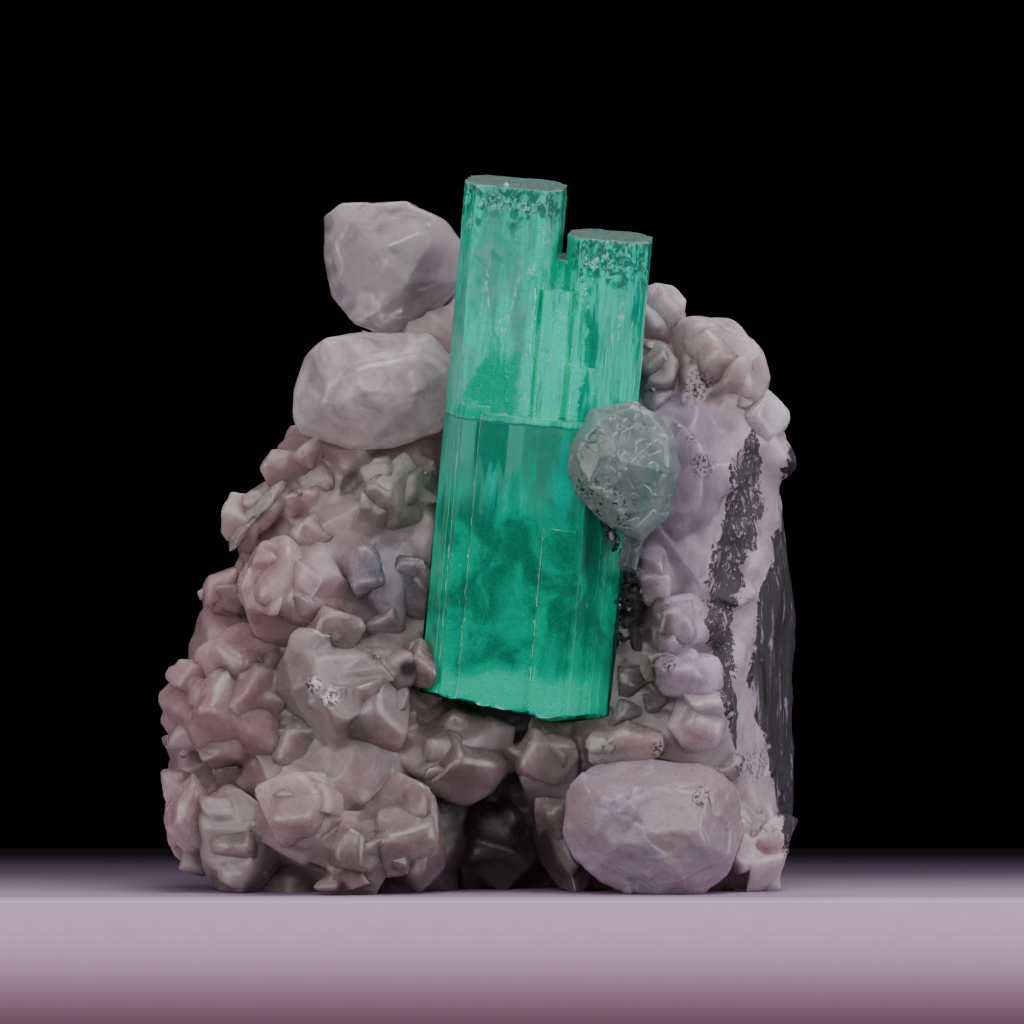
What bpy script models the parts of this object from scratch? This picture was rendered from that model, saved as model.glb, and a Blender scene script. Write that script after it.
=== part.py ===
"""Emerald in matrix: a parallel group of green beryl prisms seated in a mass of pale calcite crystals,
with clear calcite crystals above, a green-tinted crystal leaning on the emerald, a white calcite knob
in front, and a wall of black shale behind.

Sizes are in millimetres and are turned into metres where a mesh is made. +X is to the right of the
display side, +Y to the back and +Z up. The specimen stands on its trimmed base at Z = 0.
"""

import math
import random

import bmesh
import bpy
from mathutils import Matrix, Vector

MM = 0.001
SEAT_GAP = 0.12              # clearance between a crystal and the pocket it sits in
WELD = 0.01                  # corners closer than this are one corner
BLOCK_HALF = 60.0            # half the side of the block that every crystal is cut from
FRAME_SHIFT = (0.22, 0.16)   # moves the specimen so that its box is centred on the origin
CRUST_GRAINS = 44            # crystals tried on each core, on the sides and the back
CRUST_GRAIN = (1.3, 2.7)     # their least and greatest half size
GRAIN_REACH = 1.03           # how far out of a core's ellipsoid they start, as a share of it
GRAIN_SINK = 0.3             # and how far they sink back, as a share of their size
GIRDLE = 0.18                # share of an outlined crystal's depth that its upright faces may take
DUST_STEP = 2.1              # spacing of the small crystals on the display side
DUST_GRAIN = (0.55, 1.15)    # their least and greatest half size

# The emerald group: its foot, its lean to the right and to the display side, and its turn.
EMERALD_FOOT = (1.65, -4.9, 9.2)
EMERALD_LEAN_RIGHT = 5.0
EMERALD_LEAN_FRONT = 7.5
EMERALD_TURN = -5.0

# Each prism of the group: middle across and back, half width, half depth, half width of the front face,
# and top along its length.
EMERALD_PRISMS = {
    "lower body": (0.0, 0.0, 4.8, 3.4, 2.75, 15.0),
    "left prism": (-2.33, -0.15, 2.47, 2.75, 1.75, 26.3),
    "right prism": (2.55, 0.1, 2.05, 2.6, 1.25, 24.1),
    "notch prism": (0.3, 0.5, 0.8, 1.6, 0.5, 22.8),
    "middle prism": (0.35, -1.15, 0.95, 1.7, 0.6, 21.4),
    "short prism": (1.95, -1.75, 0.85, 1.1, 0.5, 17.7),
    "slim prism": (3.35, -1.6, 0.5, 0.95, 0.3, 19.6),
    "left rib": (-3.1, -1.5, 1.2, 1.75, 0.55, 15.35),
    "right rib": (1.6, -2.55, 1.05, 1.0, 0.75, 9.6),
}
EMERALD_FOOT_FACES = (((-0.12, -0.15, -1.0), 0.15), ((0.22, -0.2, -1.0), 0.9), ((0.05, 0.5, -1.0), 0.7))

# Corners that a crystal shows on the display side, as X and Z.
CLEAR_UPPER = (
    (-8.05, 33.85), (-7.2, 34.55), (-3.95, 34.65), (-1.95, 33.7), (-1.0, 32.4), (-1.4, 30.1),
    (-2.7, 28.6), (-4.95, 27.85), (-6.6, 28.5), (-7.7, 29.85), (-8.05, 31.9),
)
CLEAR_LOWER = (
    (-6.2, 28.0), (-7.95, 27.7), (-8.95, 26.8), (-9.5, 25.1), (-9.55, 23.6), (-9.2, 22.9),
    (-6.7, 22.1), (-4.6, 22.2), (-2.2, 23.0), (-1.3, 24.6), (-1.2, 26.35), (-2.7, 27.9),
)
GREEN_TINTED = (
    (5.3, 24.1), (7.4, 24.45), (8.6, 23.9), (9.4, 22.8), (9.7, 21.1), (9.1, 18.8),
    (7.8, 17.6), (6.0, 18.4), (4.6, 19.8), (4.1, 21.1), (4.5, 22.9),
)
KNOB = (
    (3.9, 3.1), (4.4, 4.9), (5.8, 6.2), (8.2, 6.7), (10.8, 6.2), (12.4, 4.8),
    (12.9, 3.0), (12.2, 1.1), (10.8, -0.1), (7.8, -0.2), (5.8, 0.6), (4.5, 1.7),
)

# Each such crystal: its corners, Y of its middle, depth, slope of its side faces, tilt of its caps, seed.
OUTLINED = {
    "clear_calcite_lower": (CLEAR_LOWER, -4.3, 7.6, 40, 24, 71),
    "clear_calcite_upper": (CLEAR_UPPER, -0.6, 7.6, 38, 26, 72),
    "green_tinted_calcite": (GREEN_TINTED, -9.9, 4.8, 26, 22, 73),
    "white_calcite_knob": (KNOB, -7.2, 7.2, 40, 20, 74),
}

# The mass that everything grew on: middle, half sizes, turn about Z and seed of each core.
CORES = {
    "left core": ((-7.2, 1.2, 7.0), (7.6, 9.3, 9.0), 10, 11),
    "left upper core": ((-5.0, 1.0, 15.5), (6.6, 7.6, 8.2), -15, 12),
    "right core": ((8.6, 0.4, 8.0), (6.5, 6.9, 9.5), 20, 13),
    "right upper core": ((9.0, 0.0, 18.5), (5.2, 6.4, 8.6), -10, 14),
    "back core": ((0.5, 4.6, 8.5), (9.0, 7.2, 11.0), 5, 15),
    "back upper core": ((1.5, 2.8, 19.0), (6.2, 4.6, 7.4), 25, 16),
    "rear support": ((-2.2, 0.6, 25.0), (3.0, 2.9, 5.2), 15, 17),
}

# The main crystals of the mass: middle, half sizes, turns about X, Y and Z, and seed.
CRYSTALS = {
    "left shoulder": ((-8.3, -2.6, 20.3), (2.4, 3.4, 2.9), (8, 12, 20), 21),
    "left blade": ((-11.1, -3.6, 19.1), (2.2, 1.7, 0.85), (10, -36, 0), 22),
    "upper block": ((-4.7, -4.4, 19.6), (2.2, 2.4, 2.3), (-6, 14, 25), 23),
    "bluish block": ((-5.0, -5.2, 15.6), (2.1, 2.2, 2.2), (12, -18, 40), 24),
    "grey rhomb": ((-9.8, -5.6, 15.3), (2.5, 2.6, 2.75), (10, 24, 12), 25),
    "small rhomb": ((-12.6, -3.2, 14.7), (1.5, 1.9, 1.15), (0, -14, 30), 26),
    "left ridge": ((-13.0, -2.6, 12.1), (1.7, 2.6, 2.3), (0, 10, 15), 27),
    "pink mass": ((-12.4, -3.6, 9.2), (3.2, 3.8, 3.1), (5, -20, 10), 28),
    "centre mass": ((-7.0, -6.0, 10.2), (3.3, 3.0, 3.2), (-8, 20, 35), 29),
    "inner mass": ((-3.4, -5.0, 11.3), (1.6, 2.2, 2.6), (0, -10, 50), 30),
    "facet crystal": ((-9.1, -8.2, 4.0), (2.2, 2.6, 2.7), (14, -22, 10), 31),
    "left foot lump": ((-14.2, -2.4, 3.7), (1.9, 2.8, 2.5), (0, 15, 0), 32),
    "left foot crystal": ((-12.3, -5.8, 2.4), (1.8, 2.2, 2.6), (6, -10, 25), 33),
    "foot crystal": ((-6.3, -8.4, 2.0), (1.8, 2.1, 2.2), (0, 25, 5), 34),
    "brown lump": ((-3.9, -7.2, 2.9), (1.8, 2.5, 2.6), (0, -12, 30), 35),
    "brown mass": ((-1.6, -5.0, 6.7), (3.1, 2.7, 2.2), (0, 8, 12), 36),
    "hollow block": ((0.2, -0.6, 2.6), (3.0, 2.2, 3.0), (0, 12, 20), 37),
    "wedge": ((3.2, -5.0, 6.5), (1.7, 2.3, 2.1), (10, 28, 0), 38),
    "wedge foot": ((4.0, -4.6, 2.7), (1.4, 2.2, 2.8), (0, -8, 15), 39),
    "small block": ((6.1, -7.2, 7.35), (1.1, 1.5, 0.8), (0, 12, 5), 40),
    "right foot": ((8.0, -3.4, 10.2), (1.4, 2.0, 2.5), (0, 5, 20), 41),
    "right lump one": ((8.4, -5.7, 15.4), (1.0, 1.7, 1.3), (0, 30, 10), 42),
    "right lump two": ((9.9, -6.0, 13.3), (2.0, 2.0, 1.45), (8, 10, 35), 43),
    "right lump three": ((9.8, -6.5, 10.9), (1.5, 1.9, 1.45), (0, -25, 15), 44),
    "right lump four": ((11.1, -6.0, 8.7), (1.6, 2.1, 1.6), (12, 20, 5), 45),
    "right ledge": ((9.7, -4.4, 19.8), (2.0, 2.8, 3.2), (5, -8, 15), 46),
    "right foot wall": ((13.0, -2.6, 2.6), (2.0, 3.4, 2.9), (0, 6, -30), 47),
    "upper right crystal": ((11.7, -2.0, 26.2), (2.3, 2.9, 2.45), (10, 18, 25), 48),
    "upper right grey": ((8.5, -2.6, 26.0), (1.3, 2.0, 1.6), (0, -20, 10), 49),
    "top white": ((8.9, -0.9, 29.0), (1.15, 1.7, 1.75), (8, 16, 35), 50),
    "right shoulder": ((13.1, -1.4, 22.8), (2.1, 2.6, 2.7), (0, -15, -20), 51),
}

# Calcite habits: each face's lean from the crystal's length, in degrees, and its reach.
NAILHEAD = ((44.6, 0.86), (84.0, 0.9))
RHOMB = ((44.6, 0.8),)

# The broken face of the vein at the right: middle, half sizes and turn about Z.
VEIN_MIDDLE = (12.3, -2.3, 11.4)
VEIN_HALF = (4.0, 2.6, 11.8)
VEIN_TURN = 38.0
VEIN_FACES, VEIN_SPREAD, VEIN_SEED = 18, 0.12, 52
CORE_FACES = 22

# The shale wall: middle of its inner face, turn about Z, thickness, and the outline of its first layer.
SHALE_MIDDLE = (3.55, 5.5)
SHALE_TURN = -30.8
SHALE_THICKNESS = 2.6
SHALE_LAYERS = 6
LAYER_START = 0.3            # the outer layers start this far into the first one
LAYER_SHRINK = 0.03          # how much less each layer reaches than the one before
LAYER_RAGGED = 0.5           # and how unevenly
SHALE_MIDDLE_Z = 11.0
SHALE_OUTLINE = (
    (-10.8, -2.0), (-11.3, 6.5), (-9.6, 14.5), (-5.5, 20.4), (0.5, 24.0), (7.0, 24.6),
    (11.6, 22.8), (13.3, 19.6), (13.0, 10.0), (12.4, 7.0), (12.6, -2.0),
)

# The tiny clear crystal in the gap beside the emerald.
SMALL_QUARTZ = ((7.3, -9.7, 17.15), (0.5, 0.5, 1.0), (-8, 16, 15))

COLOURS = {
    "emerald": ((0.02, 0.50, 0.30, 1.0), 0.15),
    "clear calcite": ((0.78, 0.73, 0.73, 1.0), 0.15),
    "green calcite": ((0.45, 0.66, 0.58, 1.0), 0.2),
    "white calcite": ((0.84, 0.78, 0.80, 1.0), 0.4),
    "grey calcite": ((0.62, 0.55, 0.55, 1.0), 0.45),
    "black shale": ((0.07, 0.065, 0.075, 1.0), 0.6),
}


def clear_scene():
    for obj in list(bpy.data.objects):
        bpy.data.objects.remove(obj, do_unlink=True)


def make_collection(name, hidden=False):
    collection = bpy.data.collections.new(name)
    bpy.context.scene.collection.children.link(collection)
    collection.hide_render = hidden
    return collection


def mineral(name):
    """A Principled finish for one mineral."""
    colour, roughness = COLOURS[name]
    made = bpy.data.materials.new(name)
    made.use_nodes = True
    shader = made.node_tree.nodes["Principled BSDF"]
    shader.inputs["Base Color"].default_value = colour
    shader.inputs["Roughness"].default_value = roughness
    shader.inputs["Metallic"].default_value = 0.0
    return made


def place(centre, turn=(0.0, 0.0, 0.0)):
    """The matrix for a middle in millimetres and turns about X, Y and Z in degrees."""
    turned = Matrix.Identity(4)
    for angle, axis in zip(turn, "XYZ"):
        turned = Matrix.Rotation(math.radians(angle), 4, axis) @ turned
    shift = Vector((FRAME_SHIFT[0], FRAME_SHIFT[1], 0.0))
    return Matrix.Translation((Vector(centre) + shift) * MM) @ turned


def cut_from_block(name, collection, planes, matrix, grow=0.0):
    """A convex crystal: a block cut back to planes, each a normal and a distance from the middle.

    grow moves every face outwards, which turns the crystal into the cutter for its own pocket.
    """
    bm = bmesh.new()
    bmesh.ops.create_cube(bm, size=2 * BLOCK_HALF)
    for normal, distance in planes:
        normal = Vector(normal).normalized()
        whole = bm.verts[:] + bm.edges[:] + bm.faces[:]
        cut = bmesh.ops.bisect_plane(
            bm, geom=whole, plane_co=normal * (distance + grow), plane_no=normal, clear_outer=True
        )
        rim = [part for part in cut["geom_cut"] if isinstance(part, bmesh.types.BMEdge)]
        if rim:
            bmesh.ops.edgeloop_fill(bm, edges=rim)
    bmesh.ops.remove_doubles(bm, verts=bm.verts[:], dist=WELD)
    bmesh.ops.dissolve_degenerate(bm, edges=bm.edges[:], dist=WELD)
    bmesh.ops.recalc_face_normals(bm, faces=bm.faces[:])
    bmesh.ops.scale(bm, vec=(MM, MM, MM), verts=bm.verts[:])
    mesh = bpy.data.meshes.new(name)
    bm.to_mesh(mesh)
    bm.free()
    obj = bpy.data.objects.new(name, mesh)
    collection.objects.link(obj)
    obj.matrix_world = matrix
    if collection.hide_render:
        obj.hide_render = True
        obj.display_type = "WIRE"
    return obj


def prism_planes(half_width, half_depth, front_half, top):
    """A flattened six-sided prism: its side faces, a narrow face on either sharp edge, and its end."""
    sine, cosine = math.sin(math.radians(60)), math.cos(math.radians(60))
    corner = front_half * sine + half_depth * cosine
    planes = [((0, 0, 1), top)]
    for side in (-1, 1):
        planes.append(((0, side, 0), half_depth))
        planes.append(((side, 0, 0), half_width))
        planes.extend(((side * sine, end * cosine, 0), corner) for end in (-1, 1))
    chamfer = Vector((-1.0, -0.35, 0.9)).normalized()
    reach = Vector((-half_width + 0.25, -half_depth, top)).dot(chamfer)
    planes.append((chamfer, reach))
    return planes


def emerald_prism(name, collection, grow=0.0):
    """One prism of the group, broken off at the foot along the faces that the whole group shares."""
    across, back, half_width, half_depth, front_half, top = EMERALD_PRISMS[name]
    planes = prism_planes(half_width, half_depth, front_half, top)
    middle = Vector((across, back, 0))
    for normal, distance in EMERALD_FOOT_FACES:
        planes.append((normal, distance - Vector(normal).normalized().dot(middle)))
    lean = Matrix.Rotation(math.radians(EMERALD_LEAN_RIGHT), 4, "Y")
    lean = Matrix.Rotation(math.radians(EMERALD_LEAN_FRONT), 4, "X") @ lean
    turn = Matrix.Rotation(math.radians(EMERALD_TURN), 4, "Z")
    matrix = place(EMERALD_FOOT) @ lean @ turn @ Matrix.Translation(middle * MM)
    return cut_from_block(name, collection, planes, matrix, grow)


def outline_planes(outline, depth, slope, cap_tilt, seed):
    """Faces of a crystal with a given outline from the front, in X and Z about its middle.

    Each edge of the outline carries an upright face, one that slopes to the front and one that slopes to
    the back. Three cap faces meet in front like the corner of a rhomb, and three more close the back.
    """
    dice = random.Random(seed)
    planes = []
    for here, there in zip(outline, outline[1:] + outline[:1]):
        out = Vector((there[1] - here[1], here[0] - there[0])).normalized()
        if out.dot(Vector(here)) < 0:
            out.negate()
        reach = out.dot(Vector(here))
        planes.append(((out.x, 0, out.y), reach))
        for side in (-1, 1):
            angle = math.radians(slope + dice.uniform(-9, 9))
            normal = (out.x * math.cos(angle), side * math.sin(angle), out.y * math.cos(angle))
            girdle = GIRDLE * depth * dice.uniform(0.3, 1.0)
            planes.append((normal, reach * math.cos(angle) + girdle * math.sin(angle)))
    for side in (-1, 1):
        start = dice.uniform(0, 360)
        for step in range(3):
            around = math.radians(start + 120 * step + dice.uniform(-18, 18))
            tilt = math.radians(cap_tilt + dice.uniform(-6, 6))
            normal = (
                math.sin(tilt) * math.cos(around), side * math.cos(tilt), math.sin(tilt) * math.sin(around)
            )
            planes.append((normal, depth / 2 * math.cos(tilt)))
    return planes


def outline_crystal(name, collection, corners, middle_y, depth, slope, cap_tilt, seed, grow=0.0):
    """A crystal that shows the given corners on the display side."""
    mid_x = sum(x for x, z in corners) / len(corners)
    mid_z = sum(z for x, z in corners) / len(corners)
    outline = [(x - mid_x, z - mid_z) for x, z in corners]
    planes = outline_planes(outline, depth, slope, cap_tilt, seed)
    return cut_from_block(name, collection, planes, place((mid_x, middle_y, mid_z)), grow)


def calcite_planes(half, seed, habit):
    """Faces of a calcite crystal: for each lean of its habit, three at either end, all a little uneven."""
    dice = random.Random(seed)
    planes = []
    for end in (1, -1):
        for step in range(3):
            for lean, reach in habit:
                lean = math.radians(lean + dice.uniform(-7, 7))
                around = math.radians(120 * step + 60 * (end < 0) + dice.uniform(-16, 16))
                normal = Vector((
                    math.sin(lean) * math.cos(around) / half[0],
                    math.sin(lean) * math.sin(around) / half[1],
                    end * math.cos(lean) / half[2],
                ))
                planes.append((normal, reach * dice.uniform(0.92, 1.06) / normal.length))
    return planes


def lump_planes(half, faces, seed, spread=0.07):
    """Faces of a rounded lump: planes that touch an ellipsoid at points spread evenly over it."""
    dice = random.Random(seed)
    planes = []
    for step in range(faces):
        height = 1 - 2 * (step + 0.5) / faces
        around = step * math.pi * (3 - math.sqrt(5)) + dice.uniform(-0.2, 0.2)
        ring = math.sqrt(1 - height * height)
        unit = (ring * math.cos(around), ring * math.sin(around), height)
        normal = Vector([along / size for along, size in zip(unit, half)])
        planes.append((normal, dice.uniform(1 - spread, 1 + spread) / normal.length))
    return planes


def modify(obj, operation, operand):
    """A Boolean with one object, or with every object of a collection."""
    modifier = obj.modifiers.new(operation.lower(), "BOOLEAN")
    modifier.operation = operation
    modifier.solver = "EXACT"
    if isinstance(operand, bpy.types.Collection):
        modifier.operand_type = "COLLECTION"
        modifier.collection = operand
    else:
        modifier.object = operand


def core_lump(name, collection):
    middle, half, turn, seed = CORES[name]
    planes = lump_planes(half, CORE_FACES, seed)
    return cut_from_block(name, collection, planes, place(middle, (0, 0, turn)))


def on_the_display_side(point):
    """True where the main crystals already make the surface, or where the emerald stands."""
    x, y, z = point
    beside_the_emerald = -4.0 < x < 7.5 and y < 1.0 and z > 20.0
    return y < -3.5 or beside_the_emerald


def crust(collection):
    """Crystals standing half out of the cores, all round the back, the sides and the top."""
    dice = random.Random(7)
    for name, (middle, half, turn, seed) in CORES.items():
        for step in range(CRUST_GRAINS):
            height = 1 - 2 * (step + 0.5) / CRUST_GRAINS
            around = step * math.pi * (3 - math.sqrt(5)) + seed
            ring = math.sqrt(1 - height * height)
            direction = Vector((ring * math.cos(around), ring * math.sin(around), height))
            size = dice.uniform(*CRUST_GRAIN)
            shape = [size * dice.uniform(0.7, 1.15) for axis in range(3)]
            angles = [dice.uniform(-40, 40) for axis in range(3)]
            reach = [h * GRAIN_REACH - GRAIN_SINK * size for h in half]
            centre = [m + d * out for m, d, out in zip(middle, direction, reach)]
            if on_the_display_side(centre):
                continue
            label = f"{name} grain {step}"
            planes = calcite_planes(shape, seed * 100 + step, NAILHEAD)
            cut_from_block(label, collection, planes, place(centre, angles))


def front_surface(x, z):
    """The Y of the frontmost core or main crystal at a place on the display side, or None beside them."""
    shapes = [(middle, half) for middle, half, turn, seed in (*CORES.values(), *CRYSTALS.values())]
    reached = []
    for middle, half in shapes:
        inside = 1 - ((x - middle[0]) / half[0]) ** 2 - ((z - middle[2]) / half[2]) ** 2
        if inside > 0.12:
            reached.append(middle[1] - half[1] * 0.9 * math.sqrt(inside))
    return min(reached, default=None)


def hidden_or_open(x, z):
    """True where the emerald, the clear crystals, the knob or the shadowed hollow is on the display side."""
    axis = EMERALD_FOOT[0] + math.tan(math.radians(EMERALD_LEAN_RIGHT)) * (z - EMERALD_FOOT[2])
    return (
        (abs(x - axis) < 5.0 and z > 8.6)
        or (x < 0.0 and z > 22.0)
        or (3.6 < x < 10.0 and 16.5 < z < 25.0)
        or (3.4 < x < 12.6 and z < 6.6)
        or (-2.6 < x < 3.6 and z < 5.6)
    )


def dust(collection):
    """Small rhombs scattered over the main crystals of the display side."""
    dice = random.Random(19)
    for column in range(-7, 8):
        for row in range(15):
            x = (column + dice.uniform(-0.45, 0.45)) * DUST_STEP
            z = (row + dice.uniform(0.05, 0.95)) * DUST_STEP
            size = dice.uniform(*DUST_GRAIN)
            shape = [size * dice.uniform(0.75, 1.2) for axis in range(3)]
            angles = [dice.uniform(-60, 60) for axis in range(3)]
            y = front_surface(x, z)
            if y is None or hidden_or_open(x, z):
                continue
            planes = calcite_planes(shape, 1000 + 20 * column + row, RHOMB)
            cut_from_block(f"dust {column} {row}", collection, planes, place((x, y + 0.25 * size, z), angles))


def shale_layer(name, collection, step):
    """One cleaved layer of the shale, with an outline a little smaller and more ragged than the last."""
    dice = random.Random(60 + step)
    thickness = SHALE_THICKNESS * (step + 1) / SHALE_LAYERS
    planes = [((0, 1, 0), thickness), ((0, -1, 0), -LAYER_START if step else 0.0)]
    centre_z = SHALE_MIDDLE_Z
    shrink = 1 - LAYER_SHRINK * step
    ragged = [
        (
            (x - math.copysign(dice.uniform(0.0, LAYER_RAGGED), x) * step) * shrink,
            (z - centre_z) * shrink - dice.uniform(-0.1, LAYER_RAGGED) * step,
        )
        for x, z in SHALE_OUTLINE
    ]
    for here, there in zip(ragged, ragged[1:] + ragged[:1]):
        out = Vector((there[1] - here[1], here[0] - there[0])).normalized()
        if out.dot(Vector(here)) < 0:
            out.negate()
        planes.append(((out.x, dice.uniform(0.02, 0.3), out.y), out.dot(Vector(here))))
    tilt = (dice.uniform(-0.8, 0.8), 0, SHALE_TURN + dice.uniform(-0.8, 0.8)) if step else (0, 0, SHALE_TURN)
    return cut_from_block(name, collection, planes, place((*SHALE_MIDDLE, centre_z), tilt))


def shale_wall(specimen):
    """The wall: thin layers one outside the other, fused into one slab with stepped edges."""
    layers = make_collection("shale layers", hidden=True)
    slab = shale_layer("shale_wallrock", specimen, 0)
    for step in range(1, SHALE_LAYERS):
        shale_layer(f"layer {step}", layers, step)
    modify(slab, "UNION", layers)
    return slab


def build_emerald(specimen, pockets, seat):
    """The group as one solid, and the grown copies of its prisms that its neighbours are cut by."""
    prisms = make_collection("emerald prisms", hidden=True)
    first, *others = EMERALD_PRISMS
    emerald = emerald_prism(first, specimen)
    emerald.name = "emerald"
    for name in others:
        emerald_prism(name, prisms)
    modify(emerald, "UNION", prisms)
    for name in EMERALD_PRISMS:
        emerald_prism(name, seat, SEAT_GAP)
        emerald_prism(name, pockets, SEAT_GAP)


def build_outlined_crystals(specimen, pockets, seat, cutters):
    """The clear crystals, the green-tinted one and the knob, each cut back from what it leans on."""
    made = {}
    for name, (corners, *shape) in OUTLINED.items():
        made[name] = outline_crystal(name, specimen, corners, *shape)
        outline_crystal(name + " pocket", pockets, corners, *shape, SEAT_GAP)
        if name != "white_calcite_knob":
            modify(made[name], "DIFFERENCE", seat)
    lower_seat = outline_crystal("lower seat", cutters, *OUTLINED["clear_calcite_lower"], SEAT_GAP)
    modify(made["clear_calcite_upper"], "DIFFERENCE", lower_seat)
    return made


def build_quartz(specimen, cutters):
    """The tiny six-sided crystal, and the cutter for its seat under the green-tinted crystal."""
    middle, (half_width, half_depth, half_length), turn = SMALL_QUARTZ
    planes = prism_planes(half_width, half_depth, half_width / 2, half_length)
    planes.append(((0, 0, -1), half_length))
    cut_from_block("small_quartz", specimen, planes, place(middle, turn))
    return cut_from_block("quartz seat", cutters, planes, place(middle, turn), SEAT_GAP)


def build_matrix(specimen, pockets):
    """The mass of calcite: cores, main crystals and crust grown into one, less the pockets."""
    grown = make_collection("matrix crystals", hidden=True)
    first, *others = CORES
    mass = core_lump(first, specimen)
    mass.name = "calcite_matrix"
    for name in others:
        core_lump(name, grown)
    for name, (middle, half, turn, seed) in CRYSTALS.items():
        cut_from_block(name, grown, calcite_planes(half, seed, NAILHEAD), place(middle, turn))
    vein = lump_planes(VEIN_HALF, VEIN_FACES, VEIN_SEED, VEIN_SPREAD)
    cut_from_block("vein face", grown, vein, place(VEIN_MIDDLE, (0, 0, VEIN_TURN)))
    crust(grown)
    dust(grown)
    beyond = place((*SHALE_MIDDLE, 0), (0, 0, SHALE_TURN))
    cut_from_block("behind the shale", pockets, [((0, -1, 0), SEAT_GAP)], beyond)
    modify(mass, "UNION", grown)
    modify(mass, "DIFFERENCE", pockets)
    return mass


def finish(names, colour_name):
    shared = mineral(colour_name)
    for name in names:
        bpy.data.objects[name].data.materials.append(shared)


def main():
    clear_scene()
    specimen = make_collection("emerald in matrix")
    pockets = make_collection("matrix pockets", hidden=True)
    seat = make_collection("emerald seat", hidden=True)
    cutters = make_collection("crystal cutters", hidden=True)

    build_emerald(specimen, pockets, seat)
    outlined = build_outlined_crystals(specimen, pockets, seat, cutters)
    quartz_seat = build_quartz(specimen, cutters)
    modify(outlined["green_tinted_calcite"], "DIFFERENCE", quartz_seat)
    mass = build_matrix(specimen, pockets)
    shale = shale_wall(specimen)

    # The flat foot that the specimen stands on.
    ground = cut_from_block("ground", cutters, [((0, 0, 1), 0.0)], place((0, 0, 0)))
    for piece in (mass, shale, outlined["white_calcite_knob"]):
        modify(piece, "DIFFERENCE", ground)

    finish(["emerald"], "emerald")
    finish(["clear_calcite_lower", "clear_calcite_upper", "small_quartz"], "clear calcite")
    finish(["green_tinted_calcite"], "green calcite")
    finish(["white_calcite_knob"], "white calcite")
    finish(["calcite_matrix"], "grey calcite")
    finish(["shale_wallrock"], "black shale")


main()
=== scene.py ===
"""The finish of an emerald in matrix: green beryl prisms in pale calcite crystals on black shale.

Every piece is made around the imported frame. Lengths in the settings and constants are millimetres
unless they say otherwise, and meshes are in metres.
"""

import math

import bmesh
import bpy
import numpy as np
from bpy.props import FloatProperty, FloatVectorProperty, IntProperty, PointerProperty
from mathutils import Euler, Matrix, Vector


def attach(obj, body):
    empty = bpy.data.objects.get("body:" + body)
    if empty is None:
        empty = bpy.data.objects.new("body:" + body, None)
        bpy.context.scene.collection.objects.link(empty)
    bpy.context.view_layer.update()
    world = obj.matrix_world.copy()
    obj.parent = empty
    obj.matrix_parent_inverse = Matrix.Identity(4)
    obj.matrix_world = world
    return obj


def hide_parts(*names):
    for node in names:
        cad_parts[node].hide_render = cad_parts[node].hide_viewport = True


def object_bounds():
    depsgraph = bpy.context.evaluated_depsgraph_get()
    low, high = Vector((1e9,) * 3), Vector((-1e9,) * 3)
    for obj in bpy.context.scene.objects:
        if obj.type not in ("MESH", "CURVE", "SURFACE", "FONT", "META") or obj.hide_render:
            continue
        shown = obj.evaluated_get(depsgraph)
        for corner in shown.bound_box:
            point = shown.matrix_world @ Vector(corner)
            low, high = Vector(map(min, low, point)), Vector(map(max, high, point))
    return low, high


bl_info = {
    "name": "Emerald in Matrix",
    "version": (1, 0, 0),
    "blender": (4, 5, 0),
    "location": "3D View > Sidebar > Specimen",
    "description": "Builds the crystals, the matrix and the shale of a mineral specimen, and its stage",
    "category": "Object",
}

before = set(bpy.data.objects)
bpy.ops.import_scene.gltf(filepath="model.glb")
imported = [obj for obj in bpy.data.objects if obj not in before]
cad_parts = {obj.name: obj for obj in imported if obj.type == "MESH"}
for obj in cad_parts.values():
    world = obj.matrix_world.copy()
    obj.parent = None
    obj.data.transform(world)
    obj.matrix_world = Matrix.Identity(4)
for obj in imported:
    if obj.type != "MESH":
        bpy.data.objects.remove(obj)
CAD_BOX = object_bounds()

MM = 0.001
WELD = 1e-6

# The emerald's own frame: its foot, its lean to the right and to the front, and its turn, as in the solids.
EMERALD_FOOT = (1.87, -4.74, 9.2)
EMERALD_LEAN_RIGHT = 5.0
EMERALD_LEAN_FRONT = 7.5
EMERALD_TURN = -5.0

# Flakes inside the emerald: least and greatest place across, back and along, how many, and their size.
EMERALD_FLAKES = (
    ((-4.4, -1.8, 24.9), (-0.2, 0.6, 25.9), 90, 0.22),
    ((0.8, -1.6, 21.4), (4.2, 0.8, 23.4), 50, 0.2),
    ((0.3, -2.5, 16.5), (1.1, -1.6, 20.9), 70, 0.16),
    ((3.2, -2.0, 17.5), (3.9, -1.2, 21.8), 40, 0.16),
    ((-3.8, -2.8, 10.4), (0.2, -2.2, 11.7), 40, 0.14),
    ((0.2, -3.0, 2.2), (1.4, -2.2, 4.3), 60, 0.16),
    ((-4.3, -2.4, 12.0), (-0.4, 1.2, 24.0), 50, 0.28),
    ((-3.0, -2.2, 1.0), (3.0, 1.5, 12.0), 50, 0.26),
)

# Places across, back and along the emerald where cracks sparkle, and how far each reaches. The cracks are
# real, their sparkle is painted glint.
EMERALD_SPARKLES = (
    ((-2.6, -2.0, 25.4), (2.6, 4.0, 0.55)),
    ((-0.5, -2.0, 24.2), (0.4, 4.0, 0.9)),
    ((-4.2, -2.0, 24.3), (0.4, 4.0, 0.8)),
    ((-2.2, -2.0, 19.6), (0.5, 4.0, 1.2)),
    ((0.6, -2.0, 19.9), (0.5, 4.0, 0.9)),
    ((0.3, -2.0, 18.2), (0.35, 4.0, 0.6)),
    ((2.3, -2.0, 23.0), (1.3, 4.0, 0.6)),
    ((3.6, -2.0, 20.4), (0.25, 4.0, 1.8)),
    ((1.7, -2.0, 21.3), (0.2, 4.0, 1.2)),
)

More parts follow.
